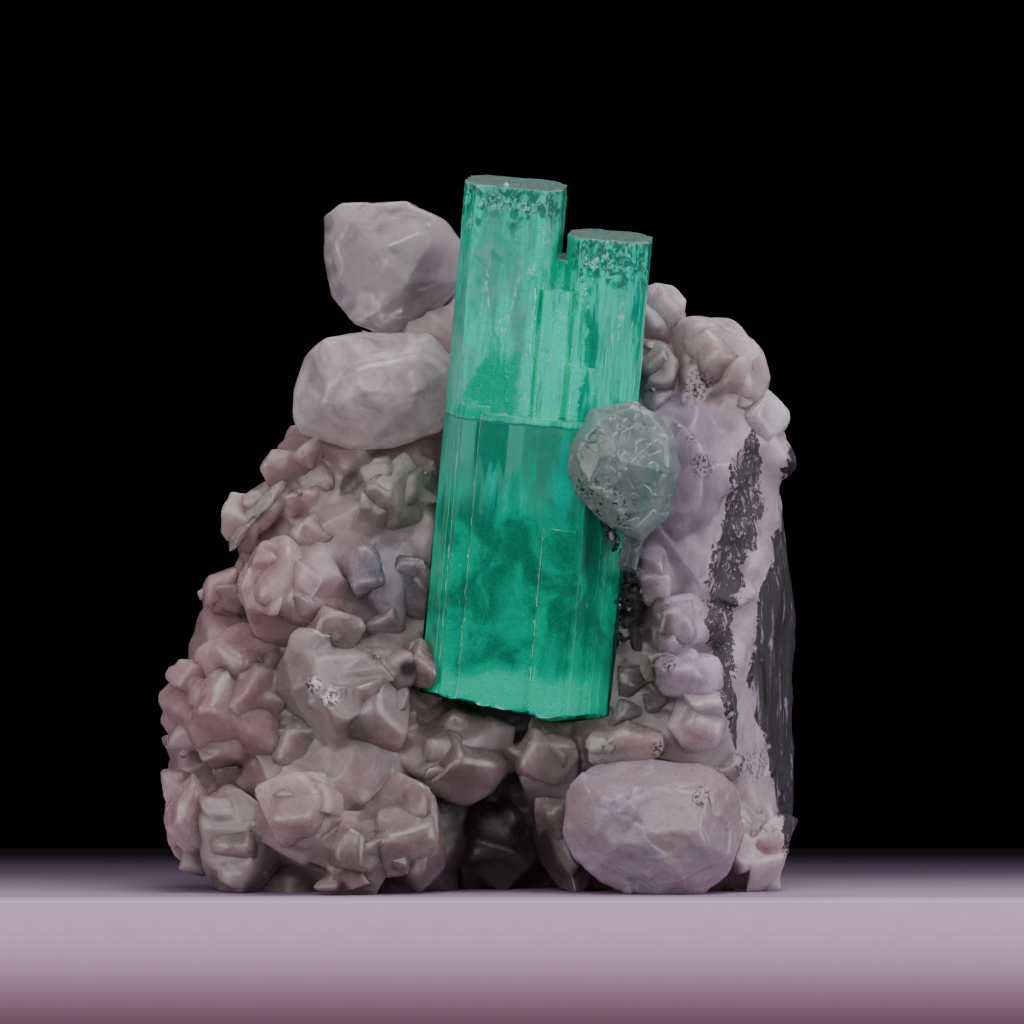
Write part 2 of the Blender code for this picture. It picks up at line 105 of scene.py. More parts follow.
# The broken face at the right: the middle of its block, and the block's turn about Z in degrees.
VEIN_MIDDLE = (12.52, -2.14, 11.4)
VEIN_TURN = 38.0

# Dark gaps and clusters of dark specks at the front: place across and up, and radius.
DARK_GAPS = ((5.8, 19.3, 0.5), (6.4, 18.0, 0.5), (7.5, 16.6, 0.6), (7.5, 15.4, 0.5), (7.3, 14.2, 0.5),
             (-3.6, 11.2, 0.4))
DARK_SPECKS = ((8.9, 7.25, 0.45), (11.0, 4.9, 0.55), (11.1, 21.3, 0.6), (10.9, 25.3, 0.8), (13.6, 6.3, 0.9),
               (14.2, 3.6, 0.8), (9.4, 11.4, 0.35), (10.6, 22.6, 0.3))

# The path that the dark chips beside the emerald follow.
GAP_PATH = ((5.75, -9.9, 19.4), (6.2, -9.6, 18.7), (6.5, -9.2, 18.0), (6.9, -8.9, 17.1), (7.3, -8.3, 16.2),
            (7.35, -7.4, 15.3), (7.1, -7.0, 14.4), (6.95, -6.9, 13.4), (6.9, -6.9, 12.6))

# Painted reflections inside the two clear crystals, as greyer places: place across and up, and radius.
CLEAR_REFLECTIONS = (
    (-7.9, 33.4, 0.45), (-7.75, 32.3, 0.4), (-7.5, 31.2, 0.4), (-7.05, 30.1, 0.4), (-6.5, 29.1, 0.4),
    (-2.5, 31.4, 0.8), (-2.7, 30.2, 0.9), (-3.1, 29.3, 0.7), (-3.2, 25.6, 0.9), (-8.6, 26.6, 0.5),
)

# The silvery pitted patch left of the emerald's foot, its glints painted as pale spots: place across and up,
# and radius.
SILVER_PATCH = ((-8.2, 10.4, 0.4), (-7.4, 9.8, 0.45))

# The dark streak down the broken face: heights, and at each the streak's middle and half width.
STREAK = np.array((
    (7.0, 12.85, 0.05), (7.6, 12.77, 0.15), (9.1, 12.52, 0.35), (10.6, 12.22, 0.55), (12.6, 11.92, 0.75),
    (14.6, 12.12, 0.9), (16.6, 12.52, 0.95), (18.1, 13.02, 1.05), (19.6, 13.27, 1.05), (21.1, 13.42, 0.9),
    (22.6, 13.62, 0.4), (23.2, 13.7, 0.05),
)).T

# Where the shale rind begins at the right of the white vein: heights, and the place across at each.
RIND = np.array((
    (0.0, 15.8), (4.35, 15.02), (6.1, 14.62), (8.35, 14.02), (10.85, 13.62), (12.35, 13.62), (14.6, 14.12),
    (16.6, 14.62), (19.6, 15.27), (22.1, 15.45), (24.0, 16.6),
)).T

# The wall of shale: the turn of its layers about Z in degrees.
SHALE_TURN = -30.8

# The camera: where the middle of the view is, how far it stands from there, and how wide the view is.
VIEW_MIDDLE = (1.62, -5.0, 19.0)
VIEW_DISTANCE = 500.0
VIEW_WIDTH = 51.2
SENSOR = 36.0

# The plinth's front and back edge, its half width and its height.
PLINTH_FRONT = -11.2
PLINTH_BACK = 60.0
PLINTH_HALF = 160.0
PLINTH_HEIGHT = 30.0

# The tones of the mass: a place, its reach, the setting that holds its colour, and its brightness.
MASS_TONES = (
    ((-8.1, -2.4, 20.3), 3.2, "matrix_pink", 0.85),
    ((-10.9, -3.4, 19.1), 2.2, "matrix_pale", 0.95),
    ((-4.5, -4.2, 19.6), 2.6, "matrix_green", 0.95),
    ((-4.8, -5.0, 15.6), 2.5, "matrix_blue", 1.0),
    ((-9.6, -5.4, 15.3), 2.9, "matrix_pink", 1.15),
    ((-12.4, -3.0, 14.7), 1.9, "matrix_pink", 1.1),
    ((-12.8, -2.4, 12.1), 2.5, "matrix_pink", 0.85),
    ((-12.2, -3.4, 9.2), 3.6, "matrix_pink", 1.1),
    ((-6.8, -5.8, 10.2), 3.5, "matrix_grey", 0.9),
    ((-3.2, -4.8, 11.3), 2.3, "matrix_brown", 1.3),
    ((-8.9, -8.0, 4.0), 2.8, "matrix_pale", 0.85),
    ((-14.0, -2.2, 3.7), 2.6, "matrix_pale", 0.95),
    ((-12.1, -5.6, 2.4), 2.5, "matrix_grey", 1.1),
    ((-6.1, -8.2, 2.0), 2.3, "matrix_brown", 1.5),
    ((-3.7, -7.0, 2.9), 2.6, "matrix_brown", 1.3),
    ((-1.4, -4.8, 6.7), 3.0, "matrix_brown", 1.1),
    # The dark tone here is painted shadow in the hollow under the emerald.
    ((0.4, -0.4, 2.6), 3.2, "matrix_dark_and_shade", 1.0),
    ((3.4, -4.8, 6.5), 2.3, "matrix_grey", 0.75),
    ((4.2, -4.4, 2.7), 2.6, "matrix_brown", 0.7),
    ((6.3, -7.0, 7.35), 1.3, "matrix_green", 1.0),
    # The two dimmed green tones beside the emerald's right foot are painted shade in that recess.
    ((7.7, -6.6, 10.2), 2.4, "matrix_green", 0.42),
    ((7.3, -6.9, 13.3), 2.4, "matrix_green", 0.2),
    ((8.6, -5.5, 15.4), 1.6, "matrix_white", 0.9),
    ((10.1, -5.8, 13.3), 2.1, "matrix_lavender", 1.0),
    ((10.0, -6.3, 10.9), 1.8, "matrix_lavender", 1.0),
    ((11.3, -5.8, 8.7), 2.0, "matrix_white", 1.05),
    ((9.9, -4.2, 19.8), 3.2, "matrix_lavender", 0.95),
    ((13.2, -2.4, 2.6), 3.3, "matrix_pale", 0.95),
    ((11.9, -1.8, 26.2), 2.9, "matrix_pale", 0.95),
    ((8.7, -2.4, 26.0), 1.9, "matrix_green", 0.8),
    ((9.1, -0.7, 29.0), 1.9, "matrix_white", 0.95),
    ((13.3, -1.2, 22.8), 2.8, "matrix_white", 0.9),
    ((12.5, -2.1, 11.4), 6.0, "matrix_lavender", 1.05),
    ((8.9, 0.6, 8.0), 8.0, "matrix_pale", 0.9),
    ((9.2, 0.2, 18.5), 7.0, "matrix_lavender", 0.9),
    ((-7.0, 1.4, 7.0), 9.0, "matrix_pink", 0.9),
    ((-4.8, 1.2, 15.5), 8.0, "matrix_pink", 0.85),
    ((0.7, 4.8, 8.5), 9.0, "matrix_grey", 0.9),
    ((1.7, 3.0, 19.0), 6.5, "matrix_grey", 0.95),
    ((-2.0, 0.8, 25.0), 4.5, "matrix_pale", 0.85),
)

# The glassy crystals that stand out of the mass at the front: place across and up, half width, half height,
# how far it stands proud as a part of its depth, turn in the plane of the face in degrees, and tone.
FRONT_CRYSTALS = (
    (-4.4, 19.7, 1.9, 2.1, 0.3, 14, "matrix_green"),
    (-9.7, 15.3, 2.2, 2.3, 0.3, 12, "matrix_pale"),
    (-12.5, 14.8, 1.3, 1.0, 0.4, -14, "matrix_pink"),
    (-10.9, 19.3, 1.9, 0.5, 0.5, 42, "matrix_pale"),
    (-11.6, 18.3, 1.5, 0.4, 0.5, 50, "matrix_pink"),
    (-8.3, 17.9, 1.2, 1.0, 0.35, 25, "matrix_pale"),
    (-8.0, 20.7, 1.5, 1.2, 0.25, 25, "matrix_pink"),
    (-5.6, 16.0, 1.2, 1.4, 0.35, -18, "matrix_blue"),
    (-3.6, 15.4, 1.3, 1.7, 0.35, 12, "matrix_blue"),
    (-4.6, 13.6, 1.3, 1.0, 0.3, 30, "matrix_blue"),
    (-7.2, 13.1, 1.5, 1.3, 0.3, -12, "matrix_grey"),
    (-12.0, 11.6, 2.4, 1.9, 0.2, 10, "matrix_pink"),
    (-12.2, 8.6, 2.7, 2.4, 0.25, -20, "matrix_pink"),
    (-12.2, 5.9, 1.6, 1.2, 0.3, 15, "matrix_pink"),
    (-8.4, 7.4, 2.2, 1.8, 0.25, 8, "matrix_grey"),
    (-5.2, 9.3, 1.9, 3.0, 0.25, -6, "matrix_grey"),
    (-9.0, 4.2, 2.2, 2.2, 0.35, -22, "matrix_pale"),
    (-12.0, 2.6, 1.6, 2.2, 0.3, 18, "matrix_grey"),
    (-14.4, 3.8, 1.3, 2.0, 0.3, 8, "matrix_pale"),
    (-6.2, 2.2, 1.5, 1.5, 0.3, 20, "matrix_brown"),
    (-3.9, 2.8, 1.6, 2.0, 0.3, -25, "matrix_grey"),
    (-1.2, 6.4, 2.4, 2.0, 0.25, 8, "matrix_brown"),
    (-2.8, 11.4, 0.9, 1.3, 0.3, 8, "matrix_brown"),
    (3.3, 6.8, 1.6, 1.7, 0.3, 28, "matrix_grey"),
    (3.9, 3.8, 1.2, 1.9, 0.3, 6, "matrix_grey"),
    (7.4, 7.4, 2.1, 1.2, 0.3, 4, "matrix_pale"),
    (7.4, 9.0, 1.4, 1.0, 0.3, 12, "matrix_green"),
    (7.9, 12.4, 0.8, 2.2, 0.25, 4, "matrix_green"),
    (7.5, 10.4, 1.1, 1.3, 0.5, -12, "matrix_green"),
    (7.5, 14.2, 0.8, 0.9, 0.4, 20, "matrix_green"),
    (8.8, 9.6, 0.9, 1.0, 0.4, 25, "matrix_green"),
    (8.7, 11.6, 0.7, 1.0, 0.4, -30, "matrix_grey"),
    (8.6, 15.4, 0.95, 1.15, 0.5, 30, "matrix_white"),
    (9.8, 13.5, 1.3, 1.4, 0.4, -35, "matrix_pale"),
    (10.4, 10.9, 1.6, 1.3, 0.35, -15, "matrix_lavender"),
    (10.9, 8.5, 1.4, 1.4, 0.35, 20, "matrix_pale"),
    (12.2, 6.3, 1.3, 1.1, 0.3, 15, "matrix_pale"),
    (11.8, 26.2, 1.9, 2.1, 0.3, 18, "matrix_pale"),
    (8.9, 26.4, 0.9, 1.0, 0.35, -20, "matrix_green"),
    (9.3, 29.0, 1.0, 1.3, 0.3, 16, "matrix_white"),
    (8.9, 24.6, 0.9, 0.8, 0.3, 20, "matrix_brown"),
    (13.9, 23.6, 1.3, 1.6, 0.25, -15, "matrix_white"),
)


# Shapes

def hashed(cells, seed):
    """A number from 0 to 1 for each whole-number place: its three parts are mixed by large odd factors."""
    cells = cells.astype(np.int64)
    mixed = cells[..., 0] * 374761393 + cells[..., 1] * 668265263 + cells[..., 2] * 2147483647
    mixed = (mixed + seed * 1013904223) & 0xFFFFFFFF
    mixed = ((mixed ^ (mixed >> 13)) * 1274126177) & 0xFFFFFFFF
    mixed = ((mixed ^ (mixed >> 16)) * 2246822519) & 0xFFFFFFFF
    return ((mixed ^ (mixed >> 15)) & 0xFFFFFF) / float(0xFFFFFF)


def value_noise(points, seed):
    """Smooth noise from -1 to 1: random values at whole-number places, eased from one to the next."""
    low = np.floor(points)
    part = points - low
    part = part * part * (3 - 2 * part)
    total = np.zeros(len(points))
    for corner in np.ndindex(2, 2, 2):
        corner = np.array(corner)
        weight = np.prod(np.where(corner, part, 1 - part), axis=1)
        total += weight * hashed(low + corner, seed)
    return total * 2 - 1


def layered_noise(points, seed, layers=3):
    """Noise at doubling frequencies, each half as strong as the last."""
    total = np.zeros(len(points))
    for layer in range(layers):
        total += value_noise(points * 2 ** layer, seed + layer) / 2 ** layer
    return total / 1.75


def facet_noise(points, seed, tilt=1.0):
    """A mosaic of flat facets: each point takes the nearest jittered seed and its randomly tilted plane."""
    low = np.floor(points)
    nearest = np.full(len(points), np.inf)
    height = np.zeros(len(points))
    for offset in np.ndindex(3, 3, 3):
        cell = low + np.array(offset) - 1
        jitter = np.stack([hashed(cell, seed + axis) for axis in range(3)], axis=1)
        away = points - (cell + jitter)
        distance = np.einsum("ij,ij->i", away, away)
        lean = np.stack([hashed(cell, seed + 3 + axis) - 0.5 for axis in range(3)], axis=1)
        plane = np.einsum("ij,ij->i", away, lean) * 2 * tilt + hashed(cell, seed + 7) - 0.5
        closer = distance < nearest
        nearest[closer] = distance[closer]
        height[closer] = plane[closer]
    return height


def smoothstep(low, high, value):
    part = np.clip((value - low) / (high - low), 0, 1)
    return part * part * (3 - 2 * part)


def unit(vectors):
    return vectors / np.maximum(np.linalg.norm(vectors, axis=-1, keepdims=True), 1e-12)


def cad_mesh(node):
    """A node's points in millimetres, its triangles, and the area of the flat face that each lies in."""
    bm = bmesh.new()
    bm.from_mesh(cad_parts[node].data)
    bmesh.ops.remove_doubles(bm, verts=bm.verts[:], dist=WELD)
    bmesh.ops.dissolve_limit(bm, angle_limit=math.radians(0.4), verts=bm.verts[:], edges=bm.edges[:])
    area = bm.faces.layers.float.new("area")
    for face in bm.faces:
        face[area] = face.calc_area() / MM ** 2
    bmesh.ops.triangulate(bm, faces=bm.faces[:], quad_method="BEAUTY", ngon_method="BEAUTY")
    mesh = bpy.data.meshes.new(node + " merged")
    bm.to_mesh(mesh)
    bm.free()
    points = np.empty(len(mesh.vertices) * 3)
    mesh.vertices.foreach_get("co", points)
    corners = np.empty(len(mesh.loops), np.int32)
    mesh.loops.foreach_get("vertex_index", corners)
    areas = np.empty(len(mesh.polygons))
    mesh.attributes["area"].data.foreach_get("value", areas)
    bpy.data.meshes.remove(mesh)
    return points.reshape(-1, 3) / MM, corners.reshape(-1, 3).astype(np.int64), areas


def hull_planes(node):
    """The planes of a node's convex hull, as outward normals and distances in millimetres."""
    bm = bmesh.new()
    bm.from_mesh(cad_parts[node].data)
    bmesh.ops.remove_doubles(bm, verts=bm.verts[:], dist=WELD)
    hull = bmesh.ops.convex_hull(bm, input=bm.verts[:], use_existing_faces=False)
    faces = [part for part in hull["geom"] if isinstance(part, bmesh.types.BMFace)]
    centre = np.mean([vert.co for vert in bm.verts], axis=0) / MM
    normals = np.array([face.normal for face in faces])
    places = np.array([face.calc_center_median() for face in faces]) / MM
    bm.free()
    distances = np.einsum("ij,ij->i", normals, places)
    inward = normals @ centre > distances
    normals[inward] *= -1
    distances[inward] *= -1
    return normals, distances


def outside(points, planes):
    """How far outside a convex hull each point lies: the greatest height above any of its planes."""
    normals, distances = planes
    result = np.full(len(points), -np.inf)
    for normal, distance in zip(normals, distances):
        np.maximum(result, points @ normal - distance, out=result)
    return result


def gap_to(points, nodes):
    """How far each point lies outside the nearest of the named nodes' hulls."""
    gap = np.full(len(points), np.inf)
    for node in nodes:
        np.minimum(gap, outside(points, hull_planes(node)), out=gap)
    return gap


def split_long_edges(points, faces, areas, limit):
    """Cuts every edge longer than limit(middles) at its middle, and each triangle to match, until none is."""
    while True:
        ends = np.concatenate([faces[:, [0, 1]], faces[:, [1, 2]], faces[:, [2, 0]]])
        edges, which = np.unique(np.sort(ends, axis=1), axis=0, return_inverse=True)
        middles = points[edges].mean(axis=1)
        lengths = np.linalg.norm(points[edges[:, 0]] - points[edges[:, 1]], axis=1)
        marked = lengths > limit(middles)
        if not marked.any():
            return points, faces, areas
        number = np.cumsum(marked) - 1 + len(points)
        points = np.concatenate([points, middles[marked]])
        side = which.reshape(3, -1).T
        cut = marked[side]
        count = cut.sum(axis=1)
        # Each triangle is turned so that its cut edges come first, then cut by the pattern for their count.
        first = np.where(count == 1, cut.argmax(axis=1), 0)
        first = np.where(count == 2, (np.argmin(cut, axis=1) + 1) % 3, first)
        turn = (first[:, None] + np.arange(3)) % 3
        a, b, c = np.take_along_axis(faces, turn, axis=1).T
        ab, bc, ca = np.take_along_axis(number[side], turn, axis=1).T
        patterns = (
            ((a, b, c),),
            ((a, ab, c), (ab, b, c)),
            ((ab, b, bc), (a, ab, bc), (a, bc, c)),
            ((a, ab, ca), (ab, b, bc), (ca, bc, c), (ab, bc, ca)),
        )
        groups = [(count == cuts, triangle) for cuts, pattern in enumerate(patterns) for triangle in pattern]
        faces = np.concatenate([
            np.stack([part[group] for part in triangle], axis=1) for group, triangle in groups
        ])
        areas = np.concatenate([areas[group] for group, _ in groups])


def vertex_normals(points, faces):
    """Each point's normal: the sum of its triangles' normals, weighted by their areas."""
    a, b, c = points[faces[:, 0]], points[faces[:, 1]], points[faces[:, 2]]
    face_normals = np.cross(b - a, c - a)
    total = np.zeros_like(points)
    for axis in range(3):
        for corner in range(3):
            total[:, axis] += np.bincount(faces[:, corner], face_normals[:, axis], len(points))
    return unit(total)


def point_values(values, faces, count):
    """The mean, at each point, of a value that belongs to the triangles round it."""
    total = sum(np.bincount(faces[:, corner], values, count) for corner in range(3))
    return total / np.maximum(np.bincount(faces.ravel(), minlength=count), 1)


def relaxed(points, faces, rounds, factor):
    """Moves each point part of the way to the mean of its neighbours, some rounds over."""
    ends = np.concatenate([faces[:, [0, 1]], faces[:, [1, 2]], faces[:, [2, 0]]])
    count = np.bincount(ends[:, 0], minlength=len(points))[:, None]
    for _ in range(rounds):
        mean = np.stack(
            [np.bincount(ends[:, 0], points[ends[:, 1], axis], len(points)) for axis in range(3)], axis=1
        )
        points = points + factor * (mean / np.maximum(count, 1) - points)
    return points


def spread(values, faces, rounds):
    """Averages a value over each point's neighbours, some rounds over."""
    ends = np.concatenate([faces[:, [0, 1]], faces[:, [1, 2]], faces[:, [2, 0]]])
    count = np.maximum(np.bincount(ends[:, 0], minlength=len(values)), 1)
    for _ in range(rounds):
        values = 0.5 * values + 0.5 * np.bincount(ends[:, 0], values[ends[:, 1]], len(values)) / count
    return values


def hollowness(points, faces, rounds=12):
    """How deep each point lies in a hollow: the smoothed surface's height above it, in millimetres."""
    lifted = relaxed(points, faces, rounds, 0.6) - points
    depth = np.einsum("ij,ij->i", lifted, vertex_normals(points, faces))
    return spread(depth, faces, 2)


def closed_faces(rings, sides):
    """Triangles over rings of points, low ring first, closed by the last two points, the low and high tip."""
    rows, columns = np.meshgrid(np.arange(rings - 1), np.arange(sides), indexing="ij")
    here = (rows * sides + columns).ravel()
    right = (rows * sides + (columns + 1) % sides).ravel()
    first, second = np.arange(sides), (np.arange(sides) + 1) % sides
    low, high = np.full(sides, rings * sides), np.full(sides, rings * sides + 1)
    last = (rings - 1) * sides
    return np.concatenate([
        np.stack([here, right, right + sides], axis=1),
        np.stack([here, right + sides, here + sides], axis=1),
        np.stack([second, first, low], axis=1),
        np.stack([first + last, second + last, high], axis=1),
    ])


def boxed(points):
    """The points, with those outside the solids' box moved onto it."""
    low, high = (np.array(corner) / MM for corner in CAD_BOX)
    return np.clip(points, low, high)


def mesh_object(name, points, faces, attributes=None, sharp_angle=38.0):
    """Puts arrays of points, in millimetres, and triangles into a mesh whose object sits at the origin."""
    mesh = bpy.data.meshes.new(name)
    mesh.vertices.add(len(points))
    mesh.vertices.foreach_set("co", (points * MM).astype(np.float32).ravel())
    mesh.loops.add(faces.size)
    mesh.loops.foreach_set("vertex_index", faces.astype(np.int32).ravel())
    mesh.polygons.add(len(faces))
    mesh.polygons.foreach_set("loop_start", np.arange(0, faces.size, 3, dtype=np.int32))
    mesh.polygons.foreach_set("use_smooth", np.ones(len(faces), bool))
    mesh.update(calc_edges=True)
    mesh.validate()
    for label, values in (attributes or {}).items():
        if values.ndim == 2:
            layer = mesh.attributes.new(label, "FLOAT_COLOR", "POINT")
            colours = np.ones((len(values), 4), np.float32)
            colours[:, :3] = values
            layer.data.foreach_set("color", colours.ravel())
        else:
            layer = mesh.attributes.new(label, "FLOAT", "POINT")
            layer.data.foreach_set("value", values.astype(np.float32))
    mesh.set_sharp_from_angle(angle=math.radians(sharp_angle))
    obj = bpy.data.objects.new(name, mesh)
    bpy.context.scene.collection.objects.link(obj)
    return obj


def emerald_axes():
    """The emerald's foot, and its three directions across, back and along as the rows of an array."""
    turn = Matrix.Rotation(math.radians(EMERALD_LEAN_RIGHT), 3, "Y")
    turn = Matrix.Rotation(math.radians(EMERALD_LEAN_FRONT), 3, "X") @ turn
    turn = turn @ Matrix.Rotation(math.radians(EMERALD_TURN), 3, "Z")
    return np.array(EMERALD_FOOT), np.array(turn).T


def flakes(centres, normals, sizes, thin, dice):
    """Thin flakes like lenses: a ring of six uneven points round each centre, and a low point each side."""
    count = len(centres)
    side = unit(np.cross(normals, dice.normal(0, 1, (count, 3))))
    other = np.cross(normals, side)
    turn = np.arange(6) * np.pi / 3
    reach = sizes[:, None, None] * dice.uniform(0.5, 1.2, (count, 6, 1))
    ring = centres[:, None] + reach * (
        np.cos(turn)[None, :, None] * side[:, None] + 0.6 * np.sin(turn)[None, :, None] * other[:, None]
    )
    tips = centres[:, None] + normals[:, None] * np.array([-thin, thin])[None, :, None]
    points = np.concatenate([ring, tips], axis=1).reshape(-1, 3)
    faces = closed_faces(1, 6)[None] + 8 * np.arange(count)[:, None, None]
    return points, faces.reshape(-1, 3)


# Materials

class Shader:
    """A material's nodes, with a short call for each kind that the minerals use."""

    def __init__(self, name):
        self.material = bpy.data.materials.new(name)
        self.material.use_nodes = True
        self.tree = self.material.node_tree
        self.principled = self.tree.nodes["Principled BSDF"]
        self.output = self.tree.nodes["Material Output"]
        place = self.tree.nodes.new("ShaderNodeTexCoord").outputs["Object"]
        self.place = self.scaled(place, (1 / MM, 1 / MM, 1 / MM))

    def set(self, socket, value):
        """Links a socket, or sets a plain number or colour on it."""
        if isinstance(value, bpy.types.NodeSocket):
            self.tree.links.new(value, socket)
        elif value is not None:
            if hasattr(socket.default_value, "__len__"):
                value = tuple(value) + (1.0,) * (len(socket.default_value) - len(value))
            socket.default_value = value

    def finish(self, **values):
        """Sets the shader's inputs by name, with spaces written as underscores."""
        for name, value in values.items():
            self.set(self.principled.inputs[name.replace("_", " ")], value)
        return self.material

    def scaled(self, vector, scale, location=(0, 0, 0), rotation=(0, 0, 0)):
        node = self.tree.nodes.new("ShaderNodeMapping")
        self.set(node.inputs["Vector"], vector)
        node.inputs["Scale"].default_value = scale
        node.inputs["Location"].default_value = location
        node.inputs["Rotation"].default_value = [math.radians(angle) for angle in rotation]
        return node.outputs["Vector"]

    def noise(self, vector, scale, detail=3.0, roughness=0.55, distortion=0.0):
        node = self.tree.nodes.new("ShaderNodeTexNoise")
        self.set(node.inputs["Vector"], vector)
        node.inputs["Scale"].default_value = scale
        node.inputs["Detail"].default_value = detail
        node.inputs["Roughness"].default_value = roughness
        node.inputs["Distortion"].default_value = distortion
        return node.outputs["Fac"]

    def cells(self, vector, scale, output="Distance", feature="F1"):
        node = self.tree.nodes.new("ShaderNodeTexVoronoi")
        node.feature = feature
        self.set(node.inputs["Vector"], vector)
        node.inputs["Scale"].default_value = scale
        if feature == "SMOOTH_F1":
            node.inputs["Smoothness"].default_value = 0.12
        return node.outputs[output]

    def value(self, operation, first, second=0.0):
        node = self.tree.nodes.new("ShaderNodeMath")
        node.operation = operation
        self.set(node.inputs[0], first)
        self.set(node.inputs[1], second)
        return node.outputs[0]

    def times(self, first, *others):
        for other in others:
            first = self.value("MULTIPLY", first, other)
        return first

    def plus(self, first, second):
        return self.value("ADD", first, second)

    def between(self, value, low, high, to_low=0.0, to_high=1.0):
        """Maps a value from one range to another, eased at both ends and held past them."""
        node = self.tree.nodes.new("ShaderNodeMapRange")
        node.interpolation_type = "SMOOTHSTEP"
        self.set(node.inputs["Value"], value)
        for name, number in zip(("From Min", "From Max", "To Min", "To Max"), (low, high, to_low, to_high)):
            node.inputs[name].default_value = number
        return node.outputs["Result"]

    def band(self, value, low, high, soft):
        """1 between two values, easing to 0 past them."""
        above = self.between(value, low - soft, low + soft)
        return self.times(above, self.between(value, high + soft, high - soft))

    def mix(self, factor, first, second, blend="MIX"):
        node = self.tree.nodes.new("ShaderNodeMix")
        node.data_type = "RGBA"
        node.blend_type = blend
        self.set(node.inputs[0], factor)
        self.set(node.inputs[6], first)
        self.set(node.inputs[7], second)
        return node.outputs[2]

    def axis(self, vector, index):
        node = self.tree.nodes.new("ShaderNodeSeparateXYZ")
        self.set(node.inputs[0], vector)
        return node.outputs[index]

    def length(self, vector):
        node = self.tree.nodes.new("ShaderNodeVectorMath")
        node.operation = "LENGTH"
        self.set(node.inputs[0], vector)
        return node.outputs["Value"]

    def attribute(self, name, output="Fac"):
        node = self.tree.nodes.new("ShaderNodeAttribute")
        node.attribute_name = name
        return node.outputs[output]

    def ball(self, centre, radius, soft):
        """1 inside a ball about a place in millimetres, easing to 0 over a soft edge."""
        node = self.tree.nodes.new("ShaderNodeVectorMath")
        node.operation = "DISTANCE"
        self.set(node.inputs[0], self.place)
        node.inputs[1].default_value = centre
        return self.between(node.outputs["Value"], radius, radius + soft, 1.0, 0.0)

    def dots(self, places):
        """1 near any of some places, given by across, up and radius in millimetres, whatever their depth."""
        flat = self.scaled(self.place, (1, 0, 1))
        total = None
        for across, up, radius in places:
            node = self.tree.nodes.new("ShaderNodeVectorMath")
            node.operation = "DISTANCE"
            self.set(node.inputs[0], flat)
            node.inputs[1].default_value = (across, 0, up)
            near = self.between(node.outputs["Value"], radius * 0.5, radius * 1.5, 1.0, 0.0)
            total = near if total is None else self.value("MAXIMUM", total, near)
        return total

    def bump(self, height, distance, strength=1.0, normal=None):
        """Raises the surface by a height from 0 to 1 times a distance in millimetres."""
        node = self.tree.nodes.new("ShaderNodeBump")
        node.inputs["Distance"].default_value = distance * MM
        node.inputs["Strength"].default_value = strength
        self.set(node.inputs["Height"], height)
        self.set(node.inputs["Normal"], normal)
        return node.outputs["Normal"]

    def absorb(self, colour, density):
        """Fills the closed shape with plain absorption: a colour and a density for each millimetre."""
        node = self.tree.nodes.new("ShaderNodeVolumeAbsorption")
        node.inputs["Color"].default_value = (*colour, 1.0)
        node.inputs["Density"].default_value = density / MM
        self.tree.links.new(node.outputs["Volume"], self.output.inputs["Volume"])


def emerald_place(shader):
    """The place of a point along the emerald's own directions, in millimetres from its foot."""
    foot, axes = emerald_axes()
    angles = Matrix(axes.tolist()).to_euler("XYZ")
    moved = shader.scaled(shader.place, (1, 1, 1), location=tuple(-foot))
    return shader.scaled(moved, (1, 1, 1), rotation=[math.degrees(angle) for angle in angles])


